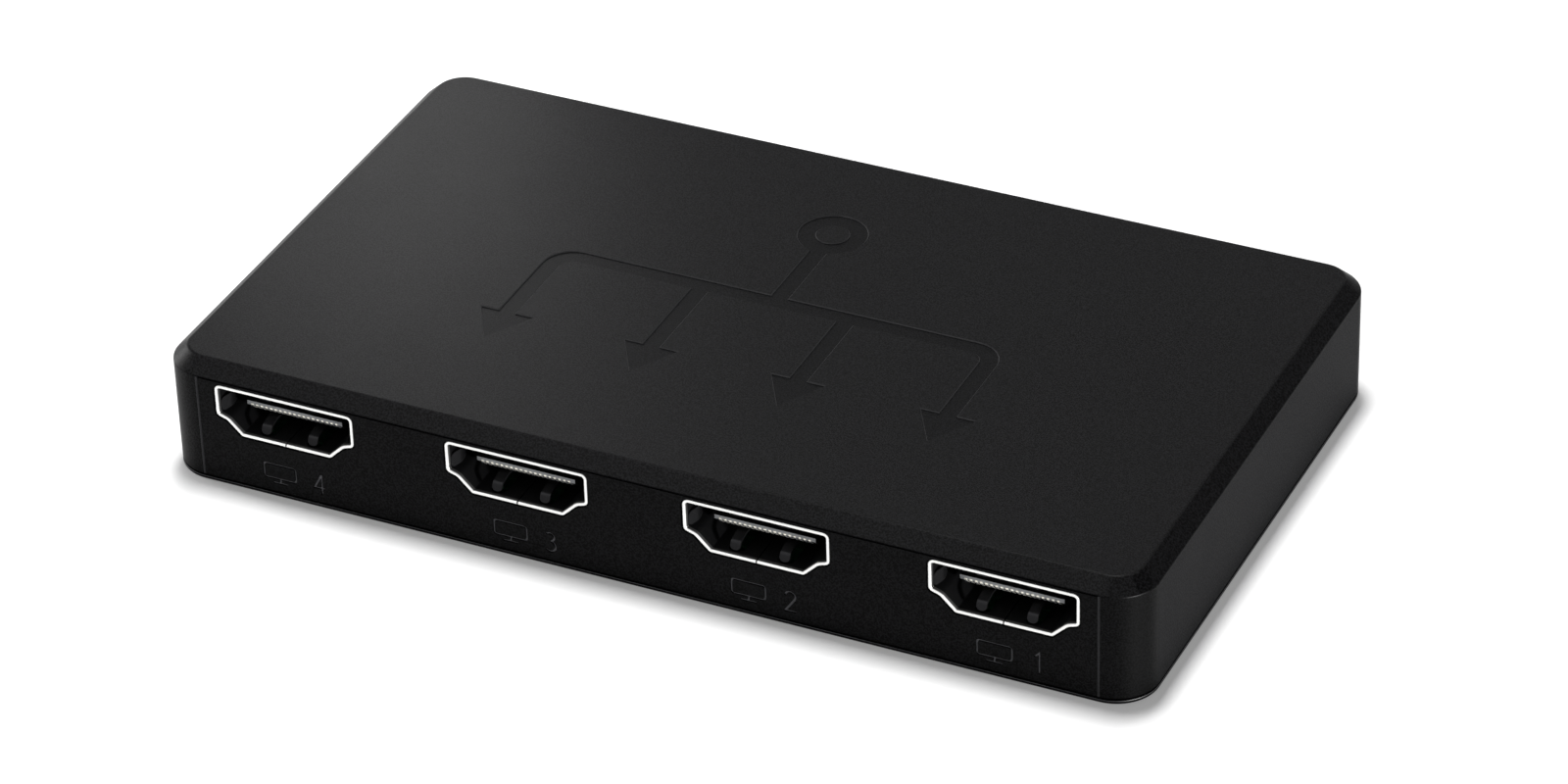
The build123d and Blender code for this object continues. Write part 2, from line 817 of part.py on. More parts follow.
def main():
    """Builds every piece and writes it to its own file."""
    os.makedirs("parts", exist_ok=True)
    place("top_cover", [top_cover()])
    place("base_plate", [base_plate()])
    place("circuit_board", [circuit_board()])
    place("case_screws", case_screws())

    shell = socket_shell()
    contacts = socket_contacts()
    insulator = socket_insulator(contacts)
    names = [f"output_socket_{number}" for number in range(1, output_count + 1)] + ["input_socket"]
    for name, frame in zip(names, output_frames + [input_frame]):
        place(f"{name}_shell", [frame * shell])
        place(f"{name}_insulator", [frame * insulator])
        place(f"{name}_contacts", [frame * contact for contact in contacts])

    pins = power_contacts()
    place("power_socket_shell", [power_frame * power_shell()])
    place("power_socket_insulator", [power_frame * power_insulator(pins)])
    place("power_socket_contacts", [power_frame * pin for pin in pins])

    chip = on_board(chip_place_shares)
    chip_top = chip_stand + chip_height
    place("splitter_chip_body", [chip * splitter_chip()])
    place("splitter_chip_leads", [chip * lead for lead in splitter_chip_leads()])
    place("thermal_tape", [chip * standing_box(chip_size, chip_size, tape_thickness, chip_top)])
    place("heat_sink", [chip * Pos(0, 0, chip_top + tape_thickness) * heat_sink()])

    memory = on_board(memory_place_shares)
    place("memory_chip_body", [memory * standing_box(memory_width, memory_length, memory_height, chip_stand)])
    place("memory_chip_leads", [memory * lead for lead in memory_leads()])

    crystal = on_board(crystal_place_shares)
    place("crystal_can", [crystal * crystal_can()])
    place("crystal_base", [crystal * standing_box(crystal_length, crystal_width, crystal_base_height)])

    regulator = on_board(regulator_place_shares)
    body = standing_box(regulator_width, regulator_length, regulator_height, chip_stand)
    place("regulator_body", [regulator * body])
    place("regulator_leads", [regulator * lead for lead in regulator_leads()])

    inductor = on_board(inductor_place_shares)
    place("inductor_core", [inductor * inductor_core()])
    place("inductor_terminals", [inductor * terminal for terminal in inductor_terminals()])

    can_places = [on_board(shares) for shares in can_place_shares]
    place("capacitor_cans", [spot * capacitor_can() for spot in can_places])
    place("capacitor_bases", [spot * capacitor_base() for spot in can_places])

    ceramic_y = ceramic_row_share * board_depth / 2
    resistor_y = resistor_row_share * board_depth / 2
    ceramics = [small_box(ceramic_height, x, ceramic_y) for x in row(ceramic_row_count, ceramic_row_pitch)]
    resistors = [small_box(resistor_height, x, resistor_y) for x in row(resistor_count, resistor_pitch)]
    place("ceramic_capacitors", ceramics)
    place("resistors", resistors)
    place("surge_arrays", surge_arrays())
    place("indicator_lamp", [indicator_lamp()])
    place("light_pipe", [light_pipe()])


main()
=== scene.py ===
"""A flat black video splitter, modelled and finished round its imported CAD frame.

The case lies flat on its underside. +X runs along its long sides, the four outputs look out of the front
wall at -Y, and the input, the power socket and the light pipe look out of the back wall at +Y. Sizes are
written in millimetres, and mm() turns them to Blender's metres.
"""

import json
import logging
import math
from collections.abc import Callable, Iterator
from contextlib import contextmanager
from dataclasses import dataclass, field
from enum import Enum
from functools import cache, partial
from typing import Any

import bmesh
import bpy
from bpy.types import Material, NodeTree, Object
from mathutils import Matrix, Vector

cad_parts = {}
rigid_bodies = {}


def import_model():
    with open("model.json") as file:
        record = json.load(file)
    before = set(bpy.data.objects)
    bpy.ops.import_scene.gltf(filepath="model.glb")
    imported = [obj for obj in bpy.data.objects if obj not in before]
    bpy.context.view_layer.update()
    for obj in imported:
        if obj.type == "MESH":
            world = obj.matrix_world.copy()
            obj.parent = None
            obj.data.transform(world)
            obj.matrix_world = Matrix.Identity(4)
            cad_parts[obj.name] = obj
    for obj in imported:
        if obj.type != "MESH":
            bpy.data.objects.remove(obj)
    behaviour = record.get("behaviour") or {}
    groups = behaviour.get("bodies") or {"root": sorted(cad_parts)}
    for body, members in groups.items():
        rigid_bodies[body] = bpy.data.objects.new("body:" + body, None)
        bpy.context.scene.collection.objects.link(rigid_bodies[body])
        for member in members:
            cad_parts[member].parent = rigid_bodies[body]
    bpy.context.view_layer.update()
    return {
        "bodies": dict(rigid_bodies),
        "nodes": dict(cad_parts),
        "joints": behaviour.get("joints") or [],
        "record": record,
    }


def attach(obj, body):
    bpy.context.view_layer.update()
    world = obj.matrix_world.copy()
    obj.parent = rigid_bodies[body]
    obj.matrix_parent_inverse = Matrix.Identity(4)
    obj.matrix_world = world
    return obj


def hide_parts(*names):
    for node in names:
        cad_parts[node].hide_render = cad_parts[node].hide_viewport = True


log = logging.getLogger("splitter")

Flat = tuple[float, float]
Point = tuple[float, float, float]
Test = Callable[[Vector, Vector], bool]
Adder = Callable[..., Any]

X, Y, Z = range(3)
WHITE = (1, 1, 1, 1)
NEAR = 1e-3  # places closer than this count as one
OVERRUN = 1.0  # reach of a cutter past what it cuts
DETAIL = 2.0  # octaves of a noise texture

CASE_WIDTH = 100.0
CASE_DEPTH = 58.6
CASE_HEIGHT = 13.1
CASE_CORNER = 4.2
CORNER_STEPS = 16
COVER_BOTTOM = 0.7
BOARD_TOP = 5.95
OUTPUT_XS = (36.6, 12.2, -12.2, -36.6)
INPUT_X = 0.0
POWER_X = -24.4
PIPE_X = 20.0
PIPE_Z = 7.35
RIM_SET_BACK = 0.05
BOSS_PLACES = ((24.4, -23.0), (-24.4, -23.0), (43.5, 23.0), (-43.5, 23.0))


def mm(value: float) -> float:
    """Millimetres as metres."""
    return value / 1000.0


def linear(hex_colour: str) -> tuple[float, float, float, float]:
    """Turns an sRGB hex value to the linear colour that the shader's sockets take.

    Args:
        hex_colour: Six hex digits.

    Returns:
        Red, green, blue and an alpha of 1.
    """
    channels = [int(hex_colour[i : i + 2], 16) / 255.0 for i in (0, 2, 4)]
    parts = [c / 12.92 if c <= 0.04045 else ((c + 0.055) / 1.055) ** 2.4 for c in channels]
    return parts[0], parts[1], parts[2], 1.0


def add_node(tree: NodeTree, kind: str, inputs: dict[Any, Any] | None = None, **settings: Any) -> Any:
    """Adds a node with its settings and links.

    Args:
        tree: Node tree that takes the node.
        kind: Blender's identifier of the node.
        inputs: Socket name or number to a value, or to the output socket that it is linked to.
        settings: Properties of the node itself.

    Returns:
        The new node.
    """
    node = tree.nodes.new(kind)
    for name, value in settings.items():
        setattr(node, name, value)
    for key, value in (inputs or {}).items():
        if isinstance(value, bpy.types.NodeSocket):
            tree.links.new(value, node.inputs[key])
        else:
            node.inputs[key].default_value = value
    return node


def new_material(name: str) -> tuple[Material, NodeTree]:
    """Makes a material with an empty node tree.

    Args:
        name: Name of the material.

    Returns:
        The material and its tree.
    """
    material = bpy.data.materials.new(name)
    material.use_nodes = True
    material.node_tree.nodes.clear()
    return material, material.node_tree


# Modelling by hand: a primitive, edit mode, then modifiers


def focus(piece: Object) -> None:
    """Selects one piece alone and makes it the active one.

    Args:
        piece: The piece.
    """
    bpy.ops.object.select_all(action="DESELECT")
    piece.select_set(True)
    bpy.context.view_layer.objects.active = piece


@contextmanager
def editing(piece: Object) -> Iterator[None]:
    """Puts a piece in edit mode for the length of a with block.

    Args:
        piece: The piece.
    """
    focus(piece)
    bpy.ops.object.mode_set(mode="EDIT")
    yield
    bpy.ops.object.mode_set(mode="OBJECT")


def pick(mode: str, test: Callable[[Any], bool]) -> None:
    """Selects the parts of the edited mesh that pass a test.

    Args:
        mode: FACE or EDGE.
        test: Test of one face or edge.
    """
    bpy.ops.mesh.select_mode(type=mode)
    bpy.ops.mesh.select_all(action="DESELECT")
    data = bpy.context.object.data
    mesh = bmesh.from_edit_mesh(data)
    for part in mesh.faces if mode == "FACE" else mesh.edges:
        if test(part):
            part.select_set(True)
    bmesh.update_edit_mesh(data)


def pick_faces(test: Test) -> None:
    """Selects the faces of the edited mesh whose middle, in millimetres, and normal pass a test."""
    pick("FACE", lambda face: test(face.calc_center_median() * 1000, face.normal))


def pick_edges(test: Test, least_angle: float = 0.0) -> None:
    """Selects the edges of the edited mesh whose middle, in millimetres, and direction pass a test.

    Args:
        test: The test.
        least_angle: Least angle between the faces of an edge in degrees, which leaves out flat edges.
    """

    def passes(edge: Any) -> bool:
        """Whether an edge passes the test and is sharp enough.

        Args:
            edge: The edge.

        Returns:
            Whether both hold.
        """
        start, end = (vertex.co * 1000 for vertex in edge.verts)
        is_right = test((start + end) / 2, (end - start).normalized())
        return is_right and math.degrees(edge.calc_face_angle(math.pi)) >= least_angle

    pick("EDGE", passes)


def along(axis: int) -> Test:
    """Makes the test for edges that run along an axis."""
    return lambda _, way: abs(way[axis]) > 0.99


def lying_at(axis: int, level: float) -> Test:
    """Makes the test for edges that lie across an axis, at a level on it in millimetres."""
    return lambda middle, way: abs(middle[axis] - level) < NEAR and abs(way[axis]) < 0.01


def facing(axis: int, sign: int) -> Test:
    """Makes the test for faces that look up an axis, or down it where the sign is -1."""
    return lambda _, normal: sign * normal[axis] > 0.9


def bevel_picked(width: float, segments: int = 3, affect: str = "EDGES") -> None:
    """Bevels what is selected by a width in millimetres."""
    bpy.ops.mesh.bevel(offset=mm(width), offset_type="OFFSET", segments=segments, affect=affect)


def extrude_picked(step: Point) -> None:
    """Extrudes what is selected by a step in millimetres."""
    bpy.ops.mesh.extrude_region_move(TRANSFORM_OT_translate={"value": [mm(part) for part in step]})


def merge_doubles() -> None:
    """Merges the vertices of the edited mesh that lie in one place."""
    bpy.ops.mesh.select_all(action="SELECT")
    bpy.ops.mesh.remove_doubles(threshold=mm(0.002))


def start_piece(name: str, add: Callable[..., Any], **settings: Any) -> Object:
    """Adds the primitive that a piece is shaped from.

    Args:
        name: Name of the new piece.
        add: Blender's operator that adds the primitive.
        settings: What the operator takes.

    Returns:
        The new piece.
    """
    bpy.ops.object.select_all(action="DESELECT")
    add(**settings)
    bpy.context.object.name = name
    return bpy.context.object


def add_box(name: str, low: Point, high: Point) -> Object:
    """Adds a cube stretched between two corners.

    Args:
        name: Name of the new piece.
        low: Lowest corner in millimetres.
        high: Highest corner in millimetres.

    Returns:
        The piece, with its place in its mesh.
    """
    middle = [mm(a + b) / 2 for a, b in zip(low, high)]
    box = start_piece(name, bpy.ops.mesh.primitive_cube_add, size=1, location=middle)
    box.scale = [mm(b - a) for a, b in zip(low, high)]
    bpy.ops.object.transform_apply(location=True, rotation=True, scale=True)
    return box


def add_rounded_block(name: str, low_z: float, high_z: float) -> Object:
    """Adds a block of the case's width and depth with rounded upright edges.

    Args:
        name: Name of the new piece.
        low_z: Height of its underside.
        high_z: Height of its top.

    Returns:
        The piece.
    """
    half_width, half_depth = CASE_WIDTH / 2, CASE_DEPTH / 2
    block = add_box(name, (-half_width, -half_depth, low_z), (half_width, half_depth, high_z))
    with editing(block):
        pick_edges(along(Z))
        bevel_picked(CASE_CORNER, CORNER_STEPS)
    return block


def add_post(name: str, radius: float, start: Point, length: float, along_y: bool = False) -> Object:
    """Adds a round post.

    Args:
        name: Name of the new piece.
        radius: Radius in millimetres.
        start: Middle of its first end in millimetres.
        length: Length in millimetres, along +Z, or along +Y.
        along_y: Whether the post lies along Y.

    Returns:
        The piece, with its place in its mesh.
    """
    middle = Vector(start) + Vector((0, length / 2, 0) if along_y else (0, 0, length / 2))
    post = start_piece(
        name,
        bpy.ops.mesh.primitive_cylinder_add,
        vertices=64,
        radius=mm(radius),
        depth=mm(length),
        location=middle / 1000,
        rotation=(math.pi / 2 if along_y else 0, 0, 0),
    )
    bpy.ops.object.transform_apply(location=True, rotation=True, scale=True)
    return post


def add_strip(
    name: str,
    path: list[Point],
    across: Point,
    width: float,
    gauge: float,
    bend: float = 0.0,
    toe: float = 0.0,
) -> Object:
    """Draws a strip along a path: an edge is extruded from point to point and given its thickness.

    Args:
        name: Name of the new piece.
        path: Points along the middle of the strip in millimetres. A closed path ends on its first point.
        across: Unit vector across the strip.
        width: Width along that vector in millimetres.
        gauge: Thickness in millimetres, half on each side of the path.
        bend: Width of the bevel that rounds its inner bends.
        toe: Width of the bevel that rounds the two corners of its first end.

    Returns:
        The piece, with its place in its mesh.
    """
    strip = start_piece(name, bpy.ops.mesh.primitive_plane_add, size=mm(1))
    half = Vector(across) * width / 2
    points = [Vector(point) for point in path]
    corners = (points[0] - half, points[0] + half, points[1] - half, points[1] + half)
    for vertex, corner in zip(strip.data.vertices, corners):
        vertex.co = corner / 1000
    with editing(strip):
        pick_edges(lambda middle, _: (middle - points[1]).length < NEAR)
        for here, there in zip(points[1:], points[2:]):
            extrude_picked(there - here)
        merge_doubles()
        if bend:
            pick_edges(lambda middle, _: any((middle - point).length < NEAR for point in points[1:-1]))
            bevel_picked(bend)
        if toe:
            pick_edges(lambda middle, _: (middle - points[0]).length < NEAR)
            bpy.ops.mesh.select_mode(type="VERT")
            bevel_picked(toe, 5, "VERTICES")
    use_modifier(strip, "SOLIDIFY", thickness=mm(gauge), offset=0, use_even_offset=True)
    return strip


def use_modifier(piece: Object, kind: str, **settings: Any) -> None:
    """Adds a modifier to a piece and applies it.

    Args:
        piece: Piece that takes the modifier.
        kind: Blender's identifier of the modifier.
        settings: Its properties.
    """
    focus(piece)
    modifier = piece.modifiers.new(kind.lower(), kind)
    for name, value in settings.items():
        setattr(modifier, name, value)
    bpy.ops.object.modifier_apply(modifier=modifier.name)


def give_wall(piece: Object, thickness: float) -> None:
    """Gives a shell a wall that grows inwards, in millimetres."""
    use_modifier(piece, "SOLIDIFY", thickness=mm(thickness), offset=-1, use_even_offset=True)


def carve(piece: Object, cutter: Object, operation: str = "DIFFERENCE") -> None:
    """Cuts a cutter out of a piece, or combines them by another operation, and throws the cutter away."""
    use_modifier(piece, "BOOLEAN", operation=operation, object=cutter, solver="EXACT")
    bpy.data.objects.remove(cutter)


def weld(piece: Object, addition: Object) -> None:
    """Grows a piece by another that overlaps it, and throws that one away."""
    carve(piece, addition, "UNION")


def gather(name: str, pieces: list[Object]) -> Object:
    """Joins pieces into the mesh of the first, each one still a closed body of its own.

    Args:
        name: Name of the whole.
        pieces: Pieces to join.

    Returns:
        The whole.
    """
    whole = pieces[0]
    focus(whole)
    for piece in pieces:
        piece.select_set(True)
    if len(pieces) > 1:
        bpy.ops.object.join()
    whole.name = name
    return whole


def copy_piece(piece: Object, name: str, move: Point, turn: float = 0.0) -> Object:
    """Copies a piece with a mesh of its own.

    Args:
        piece: Piece to copy.
        name: Name of the copy.
        move: Step from the piece to its copy in millimetres.
        turn: Turn about Z, made before the step, in degrees.

    Returns:
        The copy, with its place in its mesh.
    """
    twin = piece.copy()
    twin.data = piece.data.copy()
    twin.name = name
    bpy.context.scene.collection.objects.link(twin)
    place = Matrix.Translation(Vector(move) / 1000)
    twin.data.transform(place @ Matrix.Rotation(math.radians(turn), 4, "Z"))
    return twin


def smooth(piece: Object, angle: float = 35.0) -> None:
    """Shades a piece smooth up to an angle and leans its normals on its large faces.

    Args:
        piece: The piece.
        angle: Edges sharper than this, in degrees, stay sharp.
    """
    focus(piece)
    bpy.ops.object.shade_smooth_by_angle(angle=math.radians(angle))
    use_modifier(piece, "WEIGHTED_NORMAL", keep_sharp=True)


def throw_away(*pieces: Object) -> None:
    """Removes pieces that were only there to be copied."""
    for piece in pieces:
        bpy.data.objects.remove(piece)


def hand_over(piece: Object, slot: str, *nodes: str) -> None:
    """Gives a finished piece to the frame.

    Args:
        piece: Finished piece.
        slot: Name of a material slot of the record. It is not used.
        nodes: CAD nodes that it stands for.
    """
    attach(piece, "root")
    if nodes:
        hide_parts(*nodes)
    log.info("%s: %d faces", piece.name, len(piece.data.polygons))


def arc(middle: Flat, radius: float, start: float, end: float, steps: int) -> list[Flat]:
    """Points of an arc, ends and all.

    Args:
        middle: Centre of the arc.
        radius: Its radius.
        start: Angle of its first point in degrees.
        end: Angle of its last point in degrees.
        steps: Number of runs between the points.

    Returns:
        The points as pairs.
    """
    turns = [math.radians(start + (end - start) * step / steps) for step in range(steps + 1)]
    return [(middle[0] + radius * math.cos(turn), middle[1] + radius * math.sin(turn)) for turn in turns]


class Side(Enum):
    """Wall that a socket looks out of, with the sign of its Y."""

    FRONT = -1
    BACK = 1

    @property
    def turn(self) -> float:
        """Degrees that turn a piece modelled for the front wall to this one."""
        return 0.0 if self is Side.FRONT else 180.0

    @property
    def mouth_y(self) -> float:
        """Y of the rims of the sockets in this wall."""
        return self.value * (CASE_DEPTH / 2 - RIM_SET_BACK)


# Finishes


@dataclass(frozen=True)
class Finish:
    """What a surface is made of and how it was made. Each kind says what that gives the eye."""

    name: str
    colour: str

    @cache
    def material(self) -> Material:
        """Builds the shader, once for each finish.

        Returns:
            The material.
        """
        material, tree = new_material(self.name)
        output = add_node(tree, "ShaderNodeOutputMaterial")
        add = partial(add_node, tree)
        shader = add("ShaderNodeBsdfPrincipled", self.sockets(add, add("ShaderNodeTexCoord")))
        tree.links.new(shader.outputs["BSDF"], output.inputs["Surface"])
        return material

    def sockets(self, add: Adder, coordinates: Any) -> dict[str, Any]:
        """Adds the nodes of the finish's own pattern.

        Args:
            add: Adds a node to the material's tree.
            coordinates: The material's texture coordinates.

        Returns:
            Name of each socket of the shader to its value or to what it is linked to.
        """
        raise NotImplementedError


def dress(piece: Object, finish: Finish) -> None:
    """Gives a piece one finish all over."""
    piece.data.materials.clear()
    piece.data.materials.append(finish.material())


def trim(piece: Object, finish: Finish, test: Test) -> None:
    """Gives another finish to some faces of a dressed piece.

    Args:
        piece: The dressed piece.
        finish: Finish of those faces.
        test: Test that their middle, in millimetres, and their normal pass.
    """
    piece.data.materials.append(finish.material())
    for face in piece.data.polygons:
        if test(face.center * 1000, face.normal):
            face.material_index = len(piece.data.materials) - 1


@dataclass(frozen=True)
class MouldedPlastic(Finish):
    """Injection moulded plastic whose tool was spark eroded: small pits that break up every reflection.

    To the eye it is a matt black with a fine salt of lighter points, finest on level faces and coarser on
    upright and slanted ones. The tool's pits are about 0.05 mm; they are drawn larger, so that they show.
    """

    level_grain: float = 0.13
    wall_grain: float = 0.17
    level_depth: float = 0.006
    wall_depth: float = 0.016
    grain_breakup: float = 0.6
    grain_spread: Flat = (0.42, 0.58)
    level_lean: Flat = (0.9, 0.99)
    speckle: float = 1.0
    cloud_size: float = 9.0
    clouding: float = 0.03
    roughness: float = 0.42
    specular: float = 0.036
    ior: float = 1.53

    def sockets(self, add: Adder, coordinates: Any) -> dict[str, Any]:
        """Adds the grain, in two sizes by the lie of the face, and faint clouds in the gloss.

        Args:
            add: Adds a node to the material's tree.
            coordinates: The material's texture coordinates.

        Returns:
            The shader's sockets.
        """
        place = coordinates.outputs["Object"]
        upward = add("ShaderNodeSeparateXYZ", {"Vector": coordinates.outputs["Normal"]}).outputs["Z"]
        slanted, flat = self.level_lean
        lie = {"Value": upward, "From Min": slanted, "From Max": flat}
        level = add("ShaderNodeMapRange", lie).outputs["Result"]
        heights = []
        for size in (self.wall_grain, self.level_grain):
            grain = {"Vector": place, "Scale": 1 / mm(size), "Detail": DETAIL}
            noise = add("ShaderNodeTexNoise", {**grain, "Roughness": self.grain_breakup})
            heights.append(noise.outputs["Fac"])
        both = {"Factor": level, "A": heights[0], "B": heights[1]}
        height = add("ShaderNodeMix", both, data_type="FLOAT").outputs["Result"]
        pits = {"Value": level, "To Min": mm(self.wall_depth), "To Max": mm(self.level_depth)}
        depth = add("ShaderNodeMapRange", pits).outputs["Result"]
        dark, light = self.grain_spread
        salt = {"Value": height, "From Min": dark, "From Max": light}
        tones = {"To Min": 1 - self.speckle, "To Max": 1 + self.speckle}
        bright = add("ShaderNodeMapRange", {**salt, **tones}).outputs["Result"]
        tint = {"Factor": 1.0, "A": linear(self.colour), "B": bright}
        colour = add("ShaderNodeMix", tint, data_type="RGBA", blend_type="MULTIPLY")
        clouds = {"Vector": place, "Scale": 1 / mm(self.cloud_size), "Detail": DETAIL}
        cloud = add("ShaderNodeTexNoise", clouds).outputs["Fac"]
        low, high = self.roughness - self.clouding, self.roughness + self.clouding
        gloss = add("ShaderNodeMapRange", {"Value": cloud, "To Min": low, "To Max": high})
        bump = add("ShaderNodeBump", {"Height": height, "Distance": depth})
        return {
            "Base Color": colour.outputs["Result"],
            "Roughness": gloss.outputs["Result"],
            "IOR": self.ior,
            "Specular IOR Level": self.specular,
            "Normal": bump.outputs["Normal"],
        }


@dataclass(frozen=True)
class SheetMetal(Finish):
    """Rolled or plated metal: faint lines along Y and a soft, broken gloss.

    To the eye it is bright and even, with reflections drawn out a little along the lines.
    """

    roughness: float = 0.25
    gloss_spread: float = 0.3
    line_width: float = 0.08
    line_depth: float = 0.002
    line_squeeze: float = 0.06

    def sockets(self, add: Adder, coordinates: Any) -> dict[str, Any]:
        """Adds the lines and the gloss that they break.

        Args:
            add: Adds a node to the material's tree.
            coordinates: The material's texture coordinates.

        Returns:
            The shader's sockets.
        """
        squeeze = {"Vector": coordinates.outputs["Object"], "Scale": (1.0, self.line_squeeze, 1.0)}
        place = add("ShaderNodeMapping", squeeze).outputs["Vector"]
        noise = {"Vector": place, "Scale": 1 / mm(self.line_width), "Detail": DETAIL}
        lines = add("ShaderNodeTexNoise", noise).outputs["Fac"]
        low, high = (self.roughness * (1 + sign * self.gloss_spread) for sign in (-1, 1))
        gloss = add("ShaderNodeMapRange", {"Value": lines, "To Min": low, "To Max": high})
        bump = add("ShaderNodeBump", {"Height": lines, "Distance": mm(self.line_depth)})
        return {
            "Base Color": linear(self.colour),
            "Metallic": 1.0,
            "Roughness": gloss.outputs["Result"],
            "Normal": bump.outputs["Normal"],
        }


@dataclass(frozen=True)
class SocketSteel(Finish):
    """Nickel plated steel of a socket: a bright cut rim, and painted shade from the rim inwards.

    The rim's crest keeps the bright colour and its flanks are painted darker by their lean, a painted
    highlight on the crest. Inside, the metal is painted nearly black, as painted shade where little light
    comes in, which makes the socket look deep.
    """

    # Colour painted inside the socket and on the rim's flanks: painted shade.
    painted_shade_colour: str
    side: Side
    rim_depth: float = 0.3
    rim_blend: float = 0.1
    rim_roughness: float = 0.3
    dull_roughness: float = 0.5
    # Leans over which the rim's flanks are painted darker than its crest: a painted highlight on the crest.
    crest: float = 0.98
    flank: float = 0.5
    flank_painted_shade: float = 0.9
    wear_size: float = 0.6
    wear_depth: float = 0.01
    wear_detail: float = 3.0

    def sockets(self, add: Adder, coordinates: Any) -> dict[str, Any]:
        """Adds the mask of the painted shade, inside the rim and on its flanks, and the wear.

        Args:
            add: Adds a node to the material's tree.
            coordinates: The material's texture coordinates.

        Returns:
            The shader's sockets.
        """
        place, out = coordinates.outputs["Object"], self.side.value
        depth = add("ShaderNodeSeparateXYZ", {"Vector": place}).outputs["Y"]
        lean = add("ShaderNodeSeparateXYZ", {"Vector": coordinates.outputs["Normal"]}).outputs["Y"]
        # Faces deeper than the rim are painted dark: painted shade inside the socket.
        inner = self.side.mouth_y - out * self.rim_depth
        inwards = {"Value": depth, "From Min": mm(inner), "From Max": mm(inner - out * self.rim_blend)}
        painted_inner_shade = add("ShaderNodeMapRange", inwards).outputs["Result"]
        # The rim's flanks are painted dark by their lean, which leaves a painted highlight on the crest.
        sideways = {"Value": lean, "From Min": out * self.crest, "From Max": out * self.flank}
        beside = add("ShaderNodeMapRange", {**sideways, "To Max": self.flank_painted_shade}).outputs["Result"]
        mask = add("ShaderNodeMath", {0: painted_inner_shade, 1: beside}, operation="MAXIMUM").outputs[0]
        wear = {"Vector": place, "Scale": 1 / mm(self.wear_size), "Detail": self.wear_detail}
        height = add("ShaderNodeTexNoise", wear).outputs["Fac"]
        colours = {"Factor": mask, "A": linear(self.colour), "B": linear(self.painted_shade_colour)}
        gloss = {"Factor": mask, "A": self.rim_roughness, "B": self.dull_roughness}
        bump = add("ShaderNodeBump", {"Height": height, "Distance": mm(self.wear_depth)})
        return {
            "Base Color": add("ShaderNodeMix", colours, data_type="RGBA").outputs["Result"],
            "Metallic": 1.0,
            "Roughness": add("ShaderNodeMix", gloss, data_type="FLOAT").outputs["Result"],
            "Normal": bump.outputs["Normal"],
        }


@dataclass(frozen=True)
class SolderMask(Finish):
    """Green solder mask over copper on glass epoxy.

    To the eye it is a glossy green with paler lines, where the copper tracks stand under the mask.
    """

    track_colour: str
    track_pitch: float = 1.6
    track_width: float = 0.25
    track_height: float = 0.03
    run_pitches: float = 5.0
    roughness: float = 0.28
    coat: float = 0.4
    coat_roughness: float = 0.1
    ior: float = 1.5

    def sockets(self, add: Adder, coordinates: Any) -> dict[str, Any]:
        """Adds the tracks.

        Args:
            add: Adds a node to the material's tree.
            coordinates: The material's texture coordinates.

        Returns:
            The shader's sockets.
        """
        tracks = add(
            "ShaderNodeTexBrick",
            {
                "Vector": coordinates.outputs["Object"],
                "Color1": linear(self.colour),
                "Color2": linear(self.colour),
                "Mortar": linear(self.track_colour),
                "Scale": 1 / mm(1),
                "Mortar Size": self.track_width / 2,
                "Brick Width": self.track_pitch * self.run_pitches,
                "Row Height": self.track_pitch,
            },
        )
        bump = add("ShaderNodeBump", {"Height": tracks.outputs["Fac"], "Distance": mm(self.track_height)})
        return {
            "Base Color": tracks.outputs["Color"],
            "Roughness": self.roughness,
            "IOR": self.ior,
            "Coat Weight": self.coat,
            "Coat Roughness": self.coat_roughness,
            "Normal": bump.outputs["Normal"],
        }


@dataclass(frozen=True)
class CappedCeramic(Finish):
    """Fired ceramic block with tinned ends, one of a row along X.

    To the eye it is a matt body between two bright silver ends.
    """

    cap_colour: str
    pitch: float
    body_length: float = 0.9
    roughness: float = 0.4
    grain_size: float = 0.1
    grain_depth: float = 0.01

    def sockets(self, add: Adder, coordinates: Any) -> dict[str, Any]:
        """Adds the mask of the tinned ends and the fired grain.

        Args:
            add: Adds a node to the material's tree.
            coordinates: The material's texture coordinates.

        Returns:
            The shader's sockets.
        """
        place, half = coordinates.outputs["Object"], mm(self.pitch / 2)
        across = add("ShaderNodeSeparateXYZ", {"Vector": place}).outputs["X"]
        turn = add("ShaderNodeMath", {0: across, 1: half, 2: -half}, operation="WRAP").outputs[0]
        reach = add("ShaderNodeMath", {0: turn}, operation="ABSOLUTE").outputs[0]
        ends = {0: reach, 1: mm(self.body_length / 2)}
        is_cap = add("ShaderNodeMath", ends, operation="GREATER_THAN").outputs[0]
        colours = {"Factor": is_cap, "A": linear(self.colour), "B": linear(self.cap_colour)}
        noise = {"Vector": place, "Scale": 1 / mm(self.grain_size), "Detail": DETAIL}
        grain = add("ShaderNodeTexNoise", noise).outputs["Fac"]
        bump = add("ShaderNodeBump", {"Height": grain, "Distance": mm(self.grain_depth)})
        return {
            "Base Color": add("ShaderNodeMix", colours, data_type="RGBA").outputs["Result"],
            "Metallic": is_cap,
            "Roughness": self.roughness,
            "Normal": bump.outputs["Normal"],
        }


@dataclass(frozen=True)
class ClearPlastic(Finish):
    """Clear moulded plastic, slightly milky: it looks like a pale water drop with a soft inside."""

    clearness: float = 0.9
    roughness: float = 0.12
    haze: float = 0.4
    haze_size: float = 0.8
    ior: float = 1.58

    def sockets(self, add: Adder, coordinates: Any) -> dict[str, Any]:
        """Adds the haze that softens its gloss.

        Args:
            add: Adds a node to the material's tree.
            coordinates: The material's texture coordinates.

        Returns:
            The shader's sockets.
        """
        noise = {"Vector": coordinates.outputs["Object"], "Scale": 1 / mm(self.haze_size), "Detail": DETAIL}
        haze = add("ShaderNodeTexNoise", noise).outputs["Fac"]
        low, high = (self.roughness * (1 + sign * self.haze) for sign in (-1, 1))
        gloss = add("ShaderNodeMapRange", {"Value": haze, "To Min": low, "To Max": high})
        return {
            "Base Color": linear(self.colour),
            "Roughness": gloss.outputs["Result"],
            "IOR": self.ior,
            "Transmission Weight": self.clearness,
        }


# Pieces


